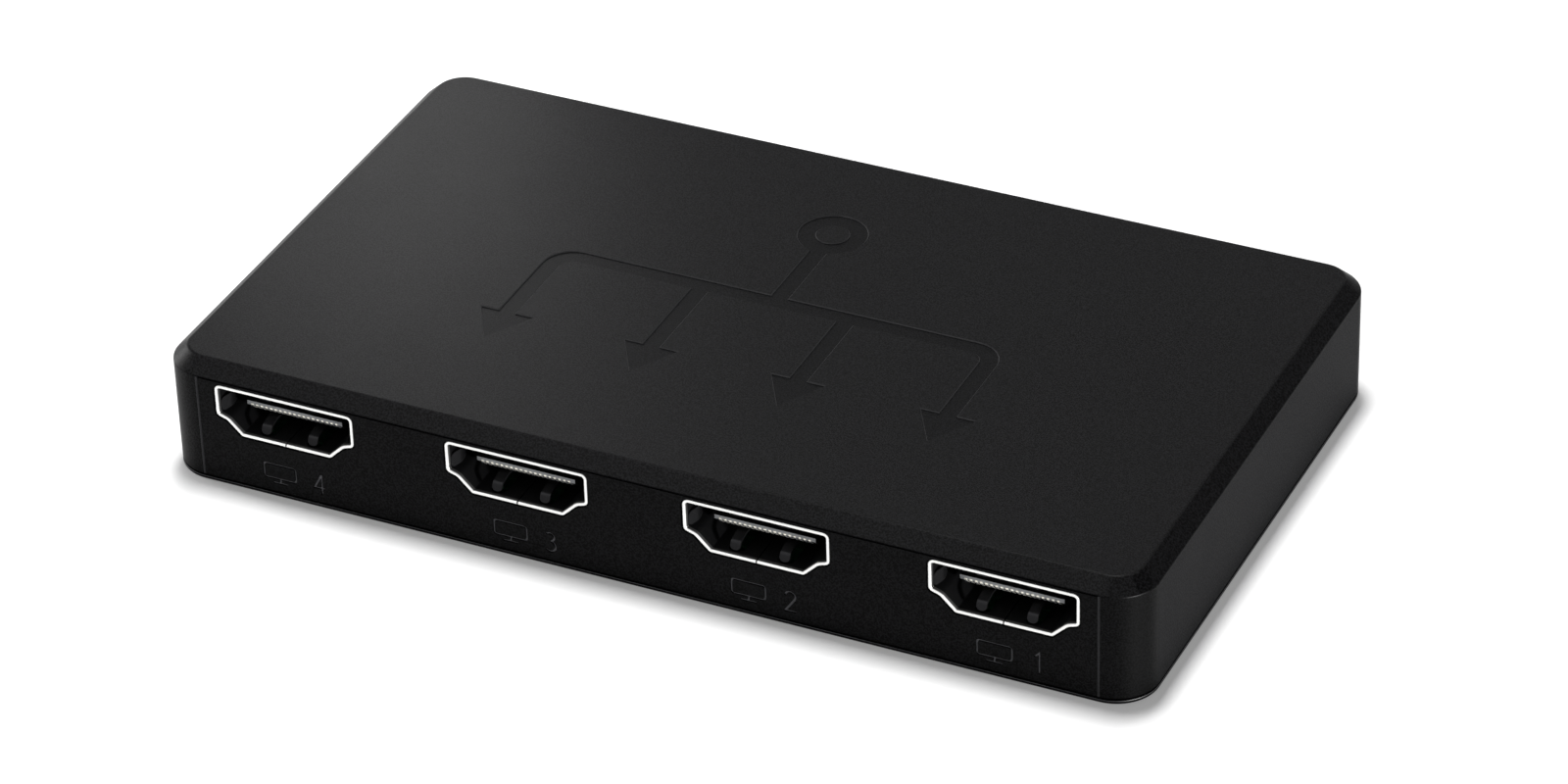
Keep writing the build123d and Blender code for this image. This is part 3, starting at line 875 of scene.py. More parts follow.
@dataclass(frozen=True)
class SocketOutline:
    """Outline of a video socket: straight sides, drawn in by two shoulders to a narrower floor.

    It is drawn round X = 0, standing on Z = 0. The mouth is at Y = 0 and the socket reaches to +Y.
    """

    width: float = 14.8
    height: float = 5.3
    side_height: float = 3.45
    ledge: float = 1.15
    ledge_drop: float = 0.38
    floor_width: float = 9.5
    radii: tuple[float, float, float, float] = (0.65, 0.55, 0.8, 0.5)

    def corners(self) -> list[Flat]:
        """Sharp corners of the right half, from the top down.

        Returns:
            X and Z of each.
        """
        half, ledge_z = self.width / 2, self.height - self.side_height
        notch = (half - self.ledge, ledge_z - self.ledge_drop)
        return [(half, self.height), (half, ledge_z), notch, (self.floor_width / 2, 0.0)]

    def tube(self, name: str, near: float, far: float, grow: float = 0.0) -> Object:
        """Shapes the outline from a cube with open ends.

        Args:
            name: Name of the new piece.
            near: Y of the open end at the mouth.
            far: Y of the other open end.
            grow: Distance by which the outline is grown, or shrunk where it is negative.

        Returns:
            A tube without thickness.
        """
        half = self.width / 2
        tube = add_box(name, (-half, near, self.height - self.side_height), (half, far, self.height))
        with editing(tube):
            self.shape()
            if grow:
                bpy.ops.mesh.select_all(action="SELECT")
                bpy.ops.transform.shrink_fatten(value=mm(grow), use_even_offset=True)
        return tube

    def shape(self) -> None:
        """Extrudes the edited block's lower half, opens its ends and bevels its long edges."""
        corners = self.corners()
        pick_faces(facing(Z, -1))
        for upper, lower in zip(corners[1:], corners[2:]):
            extrude_picked((0, 0, lower[1] - upper[1]))
            bpy.ops.transform.resize(value=(lower[0] / upper[0], 1, 1), center_override=(0, 0, mm(lower[1])))
        self.open_ends()
        chain = [(0.0, self.height), *corners, (0.0, 0.0)]
        for number, (corner, radius) in enumerate(zip(corners, self.radii), 1):
            come, here, leave = (Vector(chain[at]) for at in (number - 1, number, number + 1))
            turn = (here - come).angle(leave - here)
            pick_edges(
                lambda middle, way: abs(way.y) > 0.99
                and math.hypot(abs(middle.x) - corner[0], middle.z - corner[1]) < NEAR
            )
            bevel_picked(radius * math.tan(turn / 2), 5)

    def open_ends(self) -> None:
        """Takes the two end faces off the edited block."""
        pick_faces(lambda _, normal: abs(normal.y) > 0.9)
        bpy.ops.mesh.delete(type="FACE")

    def solid(self, name: str, near: float, far: float, grow: float = 0.0) -> Object:
        """Closes both ends of the tube.

        Args:
            name: Name of the new piece.
            near: Y of the end at the mouth.
            far: Y of the other end.
            grow: Distance by which the outline is grown, or shrunk where it is negative.

        Returns:
            A closed body.
        """
        body = self.tube(name, near, far, grow)
        with editing(body):
            for end in (near, far):
                pick_edges(lying_at(Y, end))
                bpy.ops.mesh.edge_face_add()
            bpy.ops.mesh.select_all(action="SELECT")
            bpy.ops.mesh.normals_make_consistent(inside=False)
        return body


@dataclass(frozen=True)
class PowerOutline(SocketOutline):
    """Outline of the power socket: a small box with its two lower corners cut off."""

    width: float = 7.5
    height: float = 2.6
    side_height: float = 2.6
    shoulder: float = 0.9
    radius: float = 0.4

    def shape(self) -> None:
        """Bevels the edited block to the outline and opens its ends."""
        pick_edges(lambda middle, way: abs(way.y) > 0.99 and middle.z < NEAR)
        bevel_picked(self.shoulder, 1)
        self.open_ends()
        pick_edges(lambda middle, way: abs(way.y) > 0.99 and middle.z > self.height - NEAR)
        bevel_picked(self.radius, 5)
        pick_edges(lambda middle, way: abs(way.y) > 0.99 and middle.z < self.shoulder + NEAR)
        bevel_picked(self.radius * math.tan(math.pi / 8), 3)


@dataclass
class Socket:
    """What both kinds of socket share: a sheet folded to an outline, on legs, round a moulded block."""

    outline: SocketOutline = field(default_factory=SocketOutline)
    length: float = 11.0
    gauge: float = 0.4
    rim_radius: float = 0.17
    leg_depths: tuple[float, ...] = (3.6, 9.4)
    leg_width: float = 1.4
    leg_bottom: float = -2.2
    leg_top: float = 2.1
    block_depth: float = 6.8
    clearance: float = 0.05

    def fold_sheet(self) -> Object:
        """Folds the sheet and rounds its rim.

        Returns:
            The sheet without its legs.
        """
        sheet = self.outline.tube("folded_sheet", 0, self.length)
        give_wall(sheet, self.gauge)
        with editing(sheet):
            pick_edges(lying_at(Y, 0), 45)
            bevel_picked(self.rim_radius, 4)
        return sheet

    def add_legs(self, sheet: Object) -> None:
        """Welds the legs to the sides of the sheet, which is then whole.

        Args:
            sheet: The folded sheet.
        """
        outer, half = self.outline.width / 2, self.leg_width / 2
        legs = []
        for side in (-1, 1):
            low_x, high_x = sorted((side * outer, side * (outer - self.gauge)))
            for depth in self.leg_depths:
                low = (low_x, depth - half, self.leg_bottom)
                legs.append(add_box("leg", low, (high_x, depth + half, self.leg_top)))
        weld(sheet, gather("legs", legs))
        smooth(sheet)

    def mould_block(self) -> Object:
        """Moulds the block at the back of the sheet.

        Returns:
            The block.
        """
        grow = -self.gauge - self.clearance
        block = self.outline.solid("moulded_block", self.block_depth, self.length, grow)
        smooth(block)
        return block


@dataclass
class VideoSocket(Socket):
    """A 19 contact video socket, modelled once for the front wall and copied to its five places."""

    seam: float = 0.14
    finger_x: float = 2.475
    finger_width: float = 1.0
    finger_gauge: float = 0.22
    finger_profile: tuple[Flat, ...] = ((0.75, 0.05), (1.04, 0.8), (2.27, 1.14), (3.85, 1.0), (5.4, -0.2))
    finger_bend: float = 0.22
    finger_toe: float = 0.42
    slot_gap: float = 0.25
    slot_round_share: float = 0.98
    side_finger_width: float = 1.5
    side_finger_z: float = 2.85
    side_finger_profile: tuple[Flat, ...] = ((0.4, 0.0), (1.9, 0.45), (4.2, -0.2))
    side_finger_bend: float = 0.4
    side_finger_toe: float = 0.5
    tongue_width: float = 10.24
    tongue_z: Flat = (1.85, 2.94)
    tongue_tip: float = 2.0
    tongue_slope: float = 0.62
    tongue_root: float = 0.2
    tongue_edge: float = 0.07
    contact_count: int = 19
    contact_pitch: float = 0.5
    contact_width: float = 0.22
    contact_gauge: float = 0.12
    contact_bend: float = 0.06
    contact_stand: float = 0.05
    tip_height: float = 0.19
    short_reach: float = 1.3
    foot: float = 0.9

    def build_shell(self) -> list[Object]:
        """Folds the sheet, cuts its seam and slots and adds the legs.

        Returns:
            The sheet with its legs, and the six spring fingers as one piece.
        """
        sheet = self.fold_sheet()
        half = self.seam / 2
        levels = (0.0, self.outline.height)
        slots = [self.add_slot(x, z) for x in (-self.finger_x, self.finger_x) for z in levels]
        far = self.length + OVERRUN
        seam = add_box("seam_cutter", (-half, -OVERRUN, -OVERRUN), (half, far, self.gauge + OVERRUN))
        carve(sheet, gather("slot_cutters", [seam, *slots]))
        self.add_legs(sheet)
        fingers = gather("socket_fingers", self.flat_fingers() + self.side_fingers())
        smooth(fingers)
        return [sheet, fingers]

    def add_slot(self, x: float, z: float) -> Object:
        """Adds the cutter of the slot that frees one spring finger.

        Args:
            x: Middle of the slot.
            z: Level of the outer face that it is cut in.

        Returns:
            The cutter.
        """
        half = self.finger_width / 2 + self.slot_gap
        near = self.finger_profile[0][0] - self.slot_gap
        far = self.finger_profile[-1][0] - self.finger_gauge
        slot = add_box("slot_cutter", (x - half, near, z - self.gauge), (x + half, far, z + self.gauge))
        with editing(slot):
            pick_edges(along(Z))
            bevel_picked(half * self.slot_round_share, 6)
        return slot

    def flat_fingers(self) -> list[Object]:
        """Bends the two spring fingers of the floor and the two of the roof.

        Returns:
            The four fingers.
        """
        fingers = []
        shape = (self.finger_width, self.finger_gauge, self.finger_bend, self.finger_toe)
        for base, up in ((self.gauge, 1), (self.outline.height - self.gauge, -1)):
            for x in (-self.finger_x, self.finger_x):
                path = [(x, depth, base + up * rise) for depth, rise in self.finger_profile]
                fingers.append(add_strip("finger", path, (1, 0, 0), *shape))
        return fingers

    def side_fingers(self) -> list[Object]:
        """Bends the two leaf springs of the side walls.

        Returns:
            The two springs.
        """
        fingers = []
        shape = (self.side_finger_width, self.finger_gauge, self.side_finger_bend, self.side_finger_toe)
        inner = self.outline.width / 2 - self.gauge
        for side in (-1, 1):
            path = [(side * (inner - rise), y, self.side_finger_z) for y, rise in self.side_finger_profile]
            fingers.append(add_strip("side_finger", path, (0, 0, 1), *shape))
        return fingers

    def mould_tongue(self) -> Object:
        """Moulds the tongue that carries the contacts.

        Returns:
            The tongue.
        """
        low, high = self.tongue_z
        half, tip, slope = self.tongue_width / 2, self.tongue_tip, self.tongue_slope
        tongue = add_box("tongue", (-half, tip, low), (half, self.block_depth + self.tongue_root, high))
        with editing(tongue):
            pick_edges(lambda middle, _: middle.y < tip + NEAR and middle.z < low + NEAR)
            bevel_picked(slope, 1)
            pick_edges(lambda middle, _: middle.y < tip + slope + NEAR, 30)
            bevel_picked(self.tongue_edge, 3)
        smooth(tongue)
        return tongue

    def build_contacts(self) -> Object:
        """Bends one contact for each side of the tongue and copies them along it.

        Every contact shows its tip at the foot of the tongue's nose and runs back under its slope. The odd
        ones end there and go on as blades on top of the tongue.

        Returns:
            The contacts as one piece.
        """
        low, high = self.tongue_z
        half = self.contact_gauge / 2
        sunk = half - self.contact_stand
        under, over = low + sunk, high - sunk
        nose_y = self.tongue_tip + sunk
        slope_top = low + self.tongue_slope
        slope_end = nose_y + self.tongue_slope
        back_y = self.length + half
        tip = [(0, nose_y, slope_top + self.tip_height), (0, nose_y, slope_top), (0, slope_end, under)]
        foot = [(0, back_y, half), (0, back_y + self.foot, half)]
        short = [*tip, (0, slope_end + self.short_reach, under)]
        blade = [(0, slope_end, over), (0, back_y, over), *foot]
        shape = (self.contact_width, self.contact_gauge, self.contact_bend)
        contacts = [
            gather("contact", [add_strip("contact", path, (1, 0, 0), *shape) for path in paths])
            for paths in ((short, blade), ([*tip, (0, back_y, under), *foot],))
        ]
        row = []
        for index in range(self.contact_count):
            x = (index - (self.contact_count - 1) / 2) * self.contact_pitch
            row.append(copy_piece(contacts[index % 2], "contact_copy", (x, 0, 0)))
        throw_away(*contacts)
        whole = gather("socket_contacts", row)
        smooth(whole)
        return whole


@dataclass
class TopCover:
    """Top and walls of the case in one moulding, with the signs sunk in it."""

    outline: SocketOutline = field(default_factory=SocketOutline)
    power_outline: PowerOutline = field(default_factory=PowerOutline)
    wall: float = 1.5
    chamfer_inset: float = 1.51
    chamfer_drop: float = 1.36
    top_edge: float = 0.2
    wall_edge: float = 0.12
    window_clearance: float = 0.08
    ridge_x: float = 45.8
    ridge_width: float = 0.24
    ridge_stand: float = 0.04
    ridge_root: float = 0.3
    ridge_gap: float = 0.1
    ridge_round_share: float = 0.7
    line_height: float = 0.18
    line_depth: float = 0.14
    boss_radius: float = 2.4
    boss_overlap: float = 0.2
    pilot_radius: float = 0.95
    pilot_depth: float = 4.6
    pipe_hole_radius: float = 1.0
    stroke: float = 0.2
    mark_depth: float = 0.14
    cut_height: float = 0.6
    mark_bottom: float = 1.55
    mark_height: float = 2.25
    digit_width: float = 1.1
    digit_left: float = 2.8
    screen_x: float = -0.9
    screen_width: float = 3.6
    screen_radius: float = 0.25
    screen_foot_share: float = 0.22
    screen_bar_share: float = 0.225
    sign_margin: float = 5.0
    sign_edge: float = 0.09
    sign_stroke: float = 1.7
    sign_depth: float = 0.12
    sign_spread: float = 15.2
    sign_bar_y: float = 1.5
    sign_ring_y: float = 14.5
    sign_ring_radius: float = 3.4
    sign_tip_y: float = -14.5
    sign_head_length: float = 4.6
    sign_head_width: float = 5.4
    sign_head_overlap: float = 0.2
    sign_bend: float = 2.2

    @property
    def chamfer_z(self) -> float:
        """Height of the lower edge of the chamfer."""
        return CASE_HEIGHT - self.chamfer_drop

    @property
    def neck_y(self) -> float:
        """Y at which the arrows' heads begin."""
        return self.sign_tip_y + self.sign_head_length

    def build(self) -> Object:
        """Models the cover.

        Returns:
            The finished piece.
        """
        cover = self.build_hull()
        self.add_bosses(cover)
        line = add_box(
            "panel_line_cutter",
            (-self.ridge_x, -CASE_DEPTH / 2 - OVERRUN, self.chamfer_z - self.line_height),
            (self.ridge_x, -CASE_DEPTH / 2 + self.line_depth, self.chamfer_z),
        )
        carve(cover, gather("openings", [line, *self.window_cutters()]))
        for cutter in self.output_marks() + self.branch_sign():
            carve(cover, cutter)
        with editing(cover):
            pick_edges(lambda middle, _: self.is_on_roof(middle, NEAR), 45)
            bevel_picked(self.sign_edge, 1)
        smooth(cover, 32)
        return cover

    def build_hull(self) -> Object:
        """Shapes the walls, the roof and the chamfer from a block and gives them their thickness.

        Returns:
            The cover without bosses, openings and signs.
        """
        hull = add_rounded_block("cover_moulding", COVER_BOTTOM, self.chamfer_z)
        with editing(hull):
            pick_faces(facing(Z, 1))
            inset, drop = mm(self.chamfer_inset), mm(self.chamfer_drop)
            bpy.ops.mesh.inset(thickness=inset, depth=drop, use_even_offset=True)
            pick_faces(facing(Z, -1))
            bpy.ops.mesh.delete(type="FACE")
        give_wall(hull, self.wall)
        with editing(hull):
            for height, width in ((CASE_HEIGHT, self.top_edge), (self.chamfer_z, self.wall_edge)):
                pick_edges(lying_at(Z, height))
                bevel_picked(width, 3)
        return hull

    def add_bosses(self, cover: Object) -> None:
        """Adds the four screw bosses under the roof and their pilot holes.

        Args:
            cover: The hull that they grow from.
        """
        length = CASE_HEIGHT - self.wall + self.boss_overlap - BOARD_TOP
        for x, y in BOSS_PLACES:
            weld(cover, add_post("boss", self.boss_radius, (x, y, BOARD_TOP), length))
        depth = self.pilot_depth + OVERRUN
        starts = [(x, y, BOARD_TOP - OVERRUN) for x, y in BOSS_PLACES]
        pilots = [add_post("pilot", self.pilot_radius, start, depth) for start in starts]
        carve(cover, gather("pilots", pilots))

    def window_cutters(self) -> list[Object]:
        """Cutters of the openings for the sockets and the light pipe.

        Returns:
            One cutter for each opening.
        """
        reach = self.wall + OVERRUN
        outputs = [(x, Side.FRONT) for x in OUTPUT_XS]
        cutters = []
        for outline, places in (
            (self.outline, [*outputs, (INPUT_X, Side.BACK)]),
            (self.power_outline, [(POWER_X, Side.BACK)]),
        ):
            window = outline.solid("window", -OVERRUN, reach, self.window_clearance)
            for x, side in places:
                cutters.append(copy_piece(window, "window_copy", (x, side.mouth_y, BOARD_TOP), side.turn))
            throw_away(window)
        start = (PIPE_X, CASE_DEPTH / 2 - reach, PIPE_Z)
        cutters.append(add_post("pipe_hole", self.pipe_hole_radius, start, reach + OVERRUN, along_y=True))
        return cutters

    def is_end_wall(self, middle: Vector, normal: Vector) -> bool:
        """Whether a face is part of the outside of an end wall, which takes a duller copy of the plastic so
        that it reads darker: painted shade, with deeper bumps of real grain.
        """
        return abs(normal.x) > 0.99 and abs(middle.x) > CASE_WIDTH / 2 - 0.1

    def is_end_chamfer(self, middle: Vector, normal: Vector) -> bool:
        """Whether a face is part of the chamfer at the right end, which takes a less glossy copy of the
        plastic with a larger grain, so that it reads darker: painted shade.
        """
        return normal.x > 0.5 and 0.3 < normal.z < 0.95 and middle.z > self.chamfer_z

    def is_stroke_floor(self, middle: Vector, normal: Vector) -> bool:
        """Whether a face is the floor of a stroke in the front wall, which is painted lighter: a painted
        highlight.
        """
        is_floor = abs(middle.y + CASE_DEPTH / 2 - self.mark_depth) < 0.02
        return is_floor and normal.y < -0.9 and middle.z < self.mark_bottom + self.mark_height + 0.1

    def is_on_roof(self, middle: Vector, drop: float) -> bool:
        """Whether a place is clear of the chamfer and at most a given drop under the roof's level."""
        spare_x, spare_y = CASE_WIDTH / 2 - abs(middle.x), CASE_DEPTH / 2 - abs(middle.y)
        return min(spare_x, spare_y) > self.sign_margin and middle.z > CASE_HEIGHT - drop

    def is_sign_edge(self, middle: Vector, normal: Vector) -> bool:
        """Whether a face is the broken edge round the sign, which is painted lighter: a painted highlight."""
        return self.is_on_roof(middle, self.sign_edge) and 0.3 < normal.z < 0.95

    def is_sign_floor(self, middle: Vector, normal: Vector) -> bool:
        """Whether a face is the floor of the sign, which is painted darker: painted shade in the recess."""
        half = self.sign_depth / 2
        return normal.z > 0.95 and self.is_on_roof(middle, 3 * half) and not self.is_on_roof(middle, half)

    def wall_stroke(self, points: list[Flat], x: float) -> Object:
        """Cutter of one stroke on the front wall.

        Args:
            points: Pairs, to the right of x and above the foot line.
            x: Place that the points are measured from.

        Returns:
            The cutter.
        """
        y = (self.mark_depth - self.cut_height - CASE_DEPTH) / 2
        path = [(x + right, y, self.mark_bottom + up) for right, up in points]
        return add_strip("stroke", path, (0, 1, 0), self.cut_height + self.mark_depth, self.stroke)

    def digit_strokes(self, digit: int) -> list[list[Flat]]:
        """Strokes of a plain number from 1 to 4, drawn in shares of its width and height.

        Args:
            digit: The number.

        Returns:
            Points of each stroke.
        """
        w, h = self.digit_width, self.mark_height
        foot = self.stroke / 2
        return {
            1: [[(w * 0.2, h * 0.8), (w * 0.6, h), (w * 0.6, 0)]],
            2: [arc((w * 0.46, h * 0.76), w * 0.47, 170, -35, 14) + [(0, foot), (w, foot)]],
            3: [
                arc((w * 0.38, h * 0.75), h * 0.2, 140, -90, 12),
                arc((w * 0.38, h * 0.295), h * 0.25, 90, -140, 14),
            ],
            4: [[(w * 0.7, h), (0, h * 0.32), (w, h * 0.32)], [(w * 0.7, 0), (w * 0.7, h)]],
        }[digit]

    def screen_strokes(self) -> list[list[Flat]]:
        """Strokes of a screen on its foot, round X = 0.

        Returns:
            Points of each stroke.
        """
        foot, r = self.stroke / 2, self.screen_radius
        half = self.screen_width / 2 - foot
        low, high = self.mark_height * self.screen_foot_share + foot, self.mark_height - foot
        signs = ((1, high - r), (-1, high - r), (-1, low + r), (1, low + r))
        frame = []
        for quarter, (sign, z) in enumerate(signs):
            frame += arc((sign * (half - r), z), r, 90 * quarter, 90 * quarter + 90, 3)
        bar = self.screen_width * self.screen_bar_share
        return [frame + frame[:1], [(0, low), (0, self.stroke)], [(-bar, foot), (bar, foot)]]

    def output_marks(self) -> list[Object]:
        """Cutters of the screen sign and the number under each output.

        Returns:
            One cutter for each stroke.
        """
        cutters = []
        for digit, x in enumerate(OUTPUT_XS, 1):
            cutters += [self.wall_stroke(points, x + self.screen_x) for points in self.screen_strokes()]
            cutters += [self.wall_stroke(points, x + self.digit_left) for points in self.digit_strokes(digit)]
        return cutters

    def roof_stroke(self, points: list[Flat]) -> Object:
        """Cutter of one broad stroke on the roof.

        Args:
            points: Points of the stroke.

        Returns:
            The cutter.
        """
        z = CASE_HEIGHT + (self.cut_height - self.sign_depth) / 2
        path = [(x, y, z) for x, y in points]
        return add_strip("broad_stroke", path, (0, 0, 1), self.cut_height + self.sign_depth, self.sign_stroke)

    def arrow_head(self, x: float) -> Object:
        """Cutter of the arrow head at the end of one branch.

        Args:
            x: Middle of the branch.

        Returns:
            The cutter, a block whose front face is drawn in to an edge.
        """
        half = self.sign_head_width / 2
        low = (x - half, self.sign_tip_y, CASE_HEIGHT - self.sign_depth)
        head = add_box("arrow_head", low, (x + half, self.neck_y, CASE_HEIGHT + self.cut_height))
        with editing(head):
            pick_faces(facing(Y, -1))
            tip = (mm(x), mm(self.sign_tip_y), mm(CASE_HEIGHT))
            bpy.ops.transform.resize(value=(0, 1, 1), center_override=tip)
            merge_doubles()
        return head

    def branch_sign(self) -> list[Object]:
        """Cutters of the sign on the roof: one line from a ring, parted into four arrows.

        Returns:
            Cutters of the strokes and of the arrow heads.
        """
        bend, bar_y = self.sign_bend, self.sign_bar_y
        xs = [(index - 1.5) * self.sign_spread for index in range(4)]
        end_y = self.neck_y - self.sign_head_overlap
        ring_radius = self.sign_ring_radius - self.sign_stroke / 2
        left = arc((xs[0] + bend, bar_y - bend), bend, 180, 90, 6)
        right = arc((xs[3] - bend, bar_y - bend), bend, 90, 0, 6)
        strokes = [
            arc((0, self.sign_ring_y), ring_radius, 0, 360, 48),
            [(0, self.sign_ring_y - ring_radius), (0, bar_y)],
            [(xs[0], end_y), *left, *right, (xs[3], end_y)],
            *([(x, bar_y), (x, end_y)] for x in xs[1:3]),
        ]
        return [self.roof_stroke(points) for points in strokes] + [self.arrow_head(x) for x in xs]

    def build_ridges(self) -> list[Object]:
        """Adds the two fine ridges that the tool's parting leaves at the ends of the front wall.

        Returns:
            The left and the right ridge.
        """
        ridges = []
        front, half = -CASE_DEPTH / 2 - self.ridge_stand, self.ridge_width / 2
        for name, x in (("ridge_left", -self.ridge_x), ("ridge_right", self.ridge_x)):
            high = (x + half, front + self.ridge_root, self.chamfer_z - self.ridge_gap)
            ridge = add_box(name, (x - half, front, COVER_BOTTOM), high)
            with editing(ridge):
                pick_edges(lambda middle, way: abs(way.z) > 0.99 and abs(middle.y - front) < NEAR)
                bevel_picked(half * self.ridge_round_share, 3)
            smooth(ridge)
            ridges.append(ridge)
        return ridges


@dataclass
class BasePlate:
    """Floor of the case: the visible edge, the dark groove above it and the board's standoffs."""

    edge: float = 0.45
    edge_radius: float = 0.3
    edge_break: float = 0.06
    groove_depth: float = 0.5
    plug_inset: float = 1.1
    floor_z: float = 2.0
    standoff_top: float = 4.35
    standoff_radius: float = 3.2
    standoff_foot: float = 0.9
    pocket_radius: float = 2.15
    pocket_depth: float = 2.1
    hole_radius: float = 1.15

    def build(self) -> Object:
        """Models the plate.

        Returns:
            The finished piece.
        """
        plate = add_rounded_block("base_moulding", 0, self.edge)
        with editing(plate):
            pick_faces(facing(Z, 1))
            groove, plug = COVER_BOTTOM - self.edge, self.floor_z - COVER_BOTTOM
            for inset, rise in ((self.groove_depth, groove), (self.plug_inset, plug)):
                bpy.ops.mesh.inset(thickness=mm(inset), use_even_offset=True)
                extrude_picked((0, 0, rise))
            for height, width, steps in ((0.0, self.edge_radius, 4), (self.edge, self.edge_break, 2)):
                pick_edges(lying_at(Z, height), 45)
                bevel_picked(width, steps)
        length = self.standoff_top - self.standoff_foot
        for x, y in BOSS_PLACES:
            weld(plate, add_post("standoff", self.standoff_radius, (x, y, self.standoff_foot), length))
        holes = []
        for x, y in BOSS_PLACES:
            depth = self.pocket_depth + OVERRUN
            carve(plate, add_post("pocket", self.pocket_radius, (x, y, -OVERRUN), depth))
            holes.append(add_post("screw_hole", self.hole_radius, (x, y, 0), self.standoff_top + OVERRUN))
        carve(plate, gather("screw_holes", holes))
        smooth(plate)
        return plate


@dataclass
class CaseScrews:
    """The four cross-headed screws under the case."""

    head_radius: float = 1.9
    head_z: Flat = (0.8, 2.1)
    head_round: float = 0.43
    shank_radius: float = 0.9
    tip_z: float = 10.05
    cross_length: float = 2.2
    cross_width: float = 0.5
    cross_depth: float = 0.7
    turns: tuple[float, ...] = (8, 50, 23, 71)

    def build(self) -> Object:
        """Models one screw and copies it to the four pockets.

        Returns:
            The screws as one piece.
        """
        low, high = self.head_z
        screw = add_post("case_screw", self.head_radius, (0, 0, low), high - low)
        with editing(screw):
            pick_edges(lying_at(Z, low))
            bevel_picked(self.head_round, 4)
        start = low + self.cross_depth
        weld(screw, add_post("shank", self.shank_radius, (0, 0, start), self.tip_z - start))
        long, slim = self.cross_length / 2, self.cross_width / 2
        for half_x, half_y in ((long, slim), (slim, long)):
            carve(screw, add_box("cross", (-half_x, -half_y, low - OVERRUN), (half_x, half_y, start)))
        places = zip(self.turns, BOSS_PLACES)
        copies = [copy_piece(screw, "screw_copy", (x, y, 0), turn) for turn, (x, y) in places]
        throw_away(screw)
        whole = gather("screws", copies)
        smooth(whole)
        return whole


@dataclass
class PowerSocket(Socket):
    """The small five contact power socket in the back wall."""

    outline: SocketOutline = field(default_factory=PowerOutline)
    length: float = 5.0
    gauge: float = 0.3
    rim_radius: float = 0.13
    leg_depths: tuple[float, ...] = (3.4,)
    leg_top: float = 1.3
    block_depth: float = 3.4
    tongue: tuple[Point, Point] = ((-2.0, 0.6, 1.35), (2.0, 3.6, 1.85))
    tongue_edge: float = 0.08

    def build(self) -> tuple[Object, Object]:
        """Models the folded shell and the moulded block with its tongue.

        Returns:
            The shell and the block, at the back wall.
        """
        sheet = self.fold_sheet()
        self.add_legs(sheet)
        block = self.mould_block()
        tongue = add_box("power_tongue", *self.tongue)
        with editing(tongue):
            bpy.ops.mesh.select_all(action="SELECT")
            bevel_picked(self.tongue_edge, 2)
        smooth(tongue)
        shell = place_copy("power_shell", [sheet], POWER_X, Side.BACK)
        insulator = place_copy("power_insulator", [block, tongue], POWER_X, Side.BACK)
        throw_away(sheet, block, tongue)
        return shell, insulator


@dataclass
class LightPipe:
    """Clear pipe that brings the lamp's light to the back wall."""

    flange_radius: float = 1.3
    radius: float = 0.95
    flange_y: Flat = (27.4, 27.8)
    lens: float = 0.3

    def build(self) -> Object:
        """Extrudes the pipe out of its flange and domes its end.

        Returns:
            The finished piece.
        """
        start, end = self.flange_y
        mouth = Side.BACK.mouth_y
        place = (PIPE_X, start, PIPE_Z)
        pipe = add_post("light_pipe_lens", self.flange_radius, place, end - start, along_y=True)
        with editing(pipe):
            pick_faces(facing(Y, 1))
            bpy.ops.mesh.inset(thickness=mm(self.flange_radius - self.radius))
            extrude_picked((0, mouth - end, 0))
            pick_edges(lying_at(Y, mouth))
            bevel_picked(self.lens, 5)
        smooth(pipe, 40)
        return pipe


def place_copy(name: str, parts: list[Object], x: float, side: Side) -> Object:
    """Copies parts modelled round the origin to a socket's place and joins them.

    Args:
        name: Name of the new piece.
        parts: Parts with their materials.
        x: Middle of the socket in millimetres.
        side: Wall that the socket looks out of.

    Returns:
        The piece in its place.
    """
    place = (x, side.mouth_y, BOARD_TOP)
    return gather(name, [copy_piece(part, name + "_part", place, side.turn) for part in parts])


# Studio


@dataclass(frozen=True)
class SoftBox:
    """A square or oblong lamp that faces a point. Sizes are in millimetres, its power in watts.

    One that is for gloss alone is like a card that is held up beside the lens: it shows in reflections and
    casts no light.
    """

    place: Point
    target: Point
    width: float
    height: float
    power: float
    gloss_only: bool = False


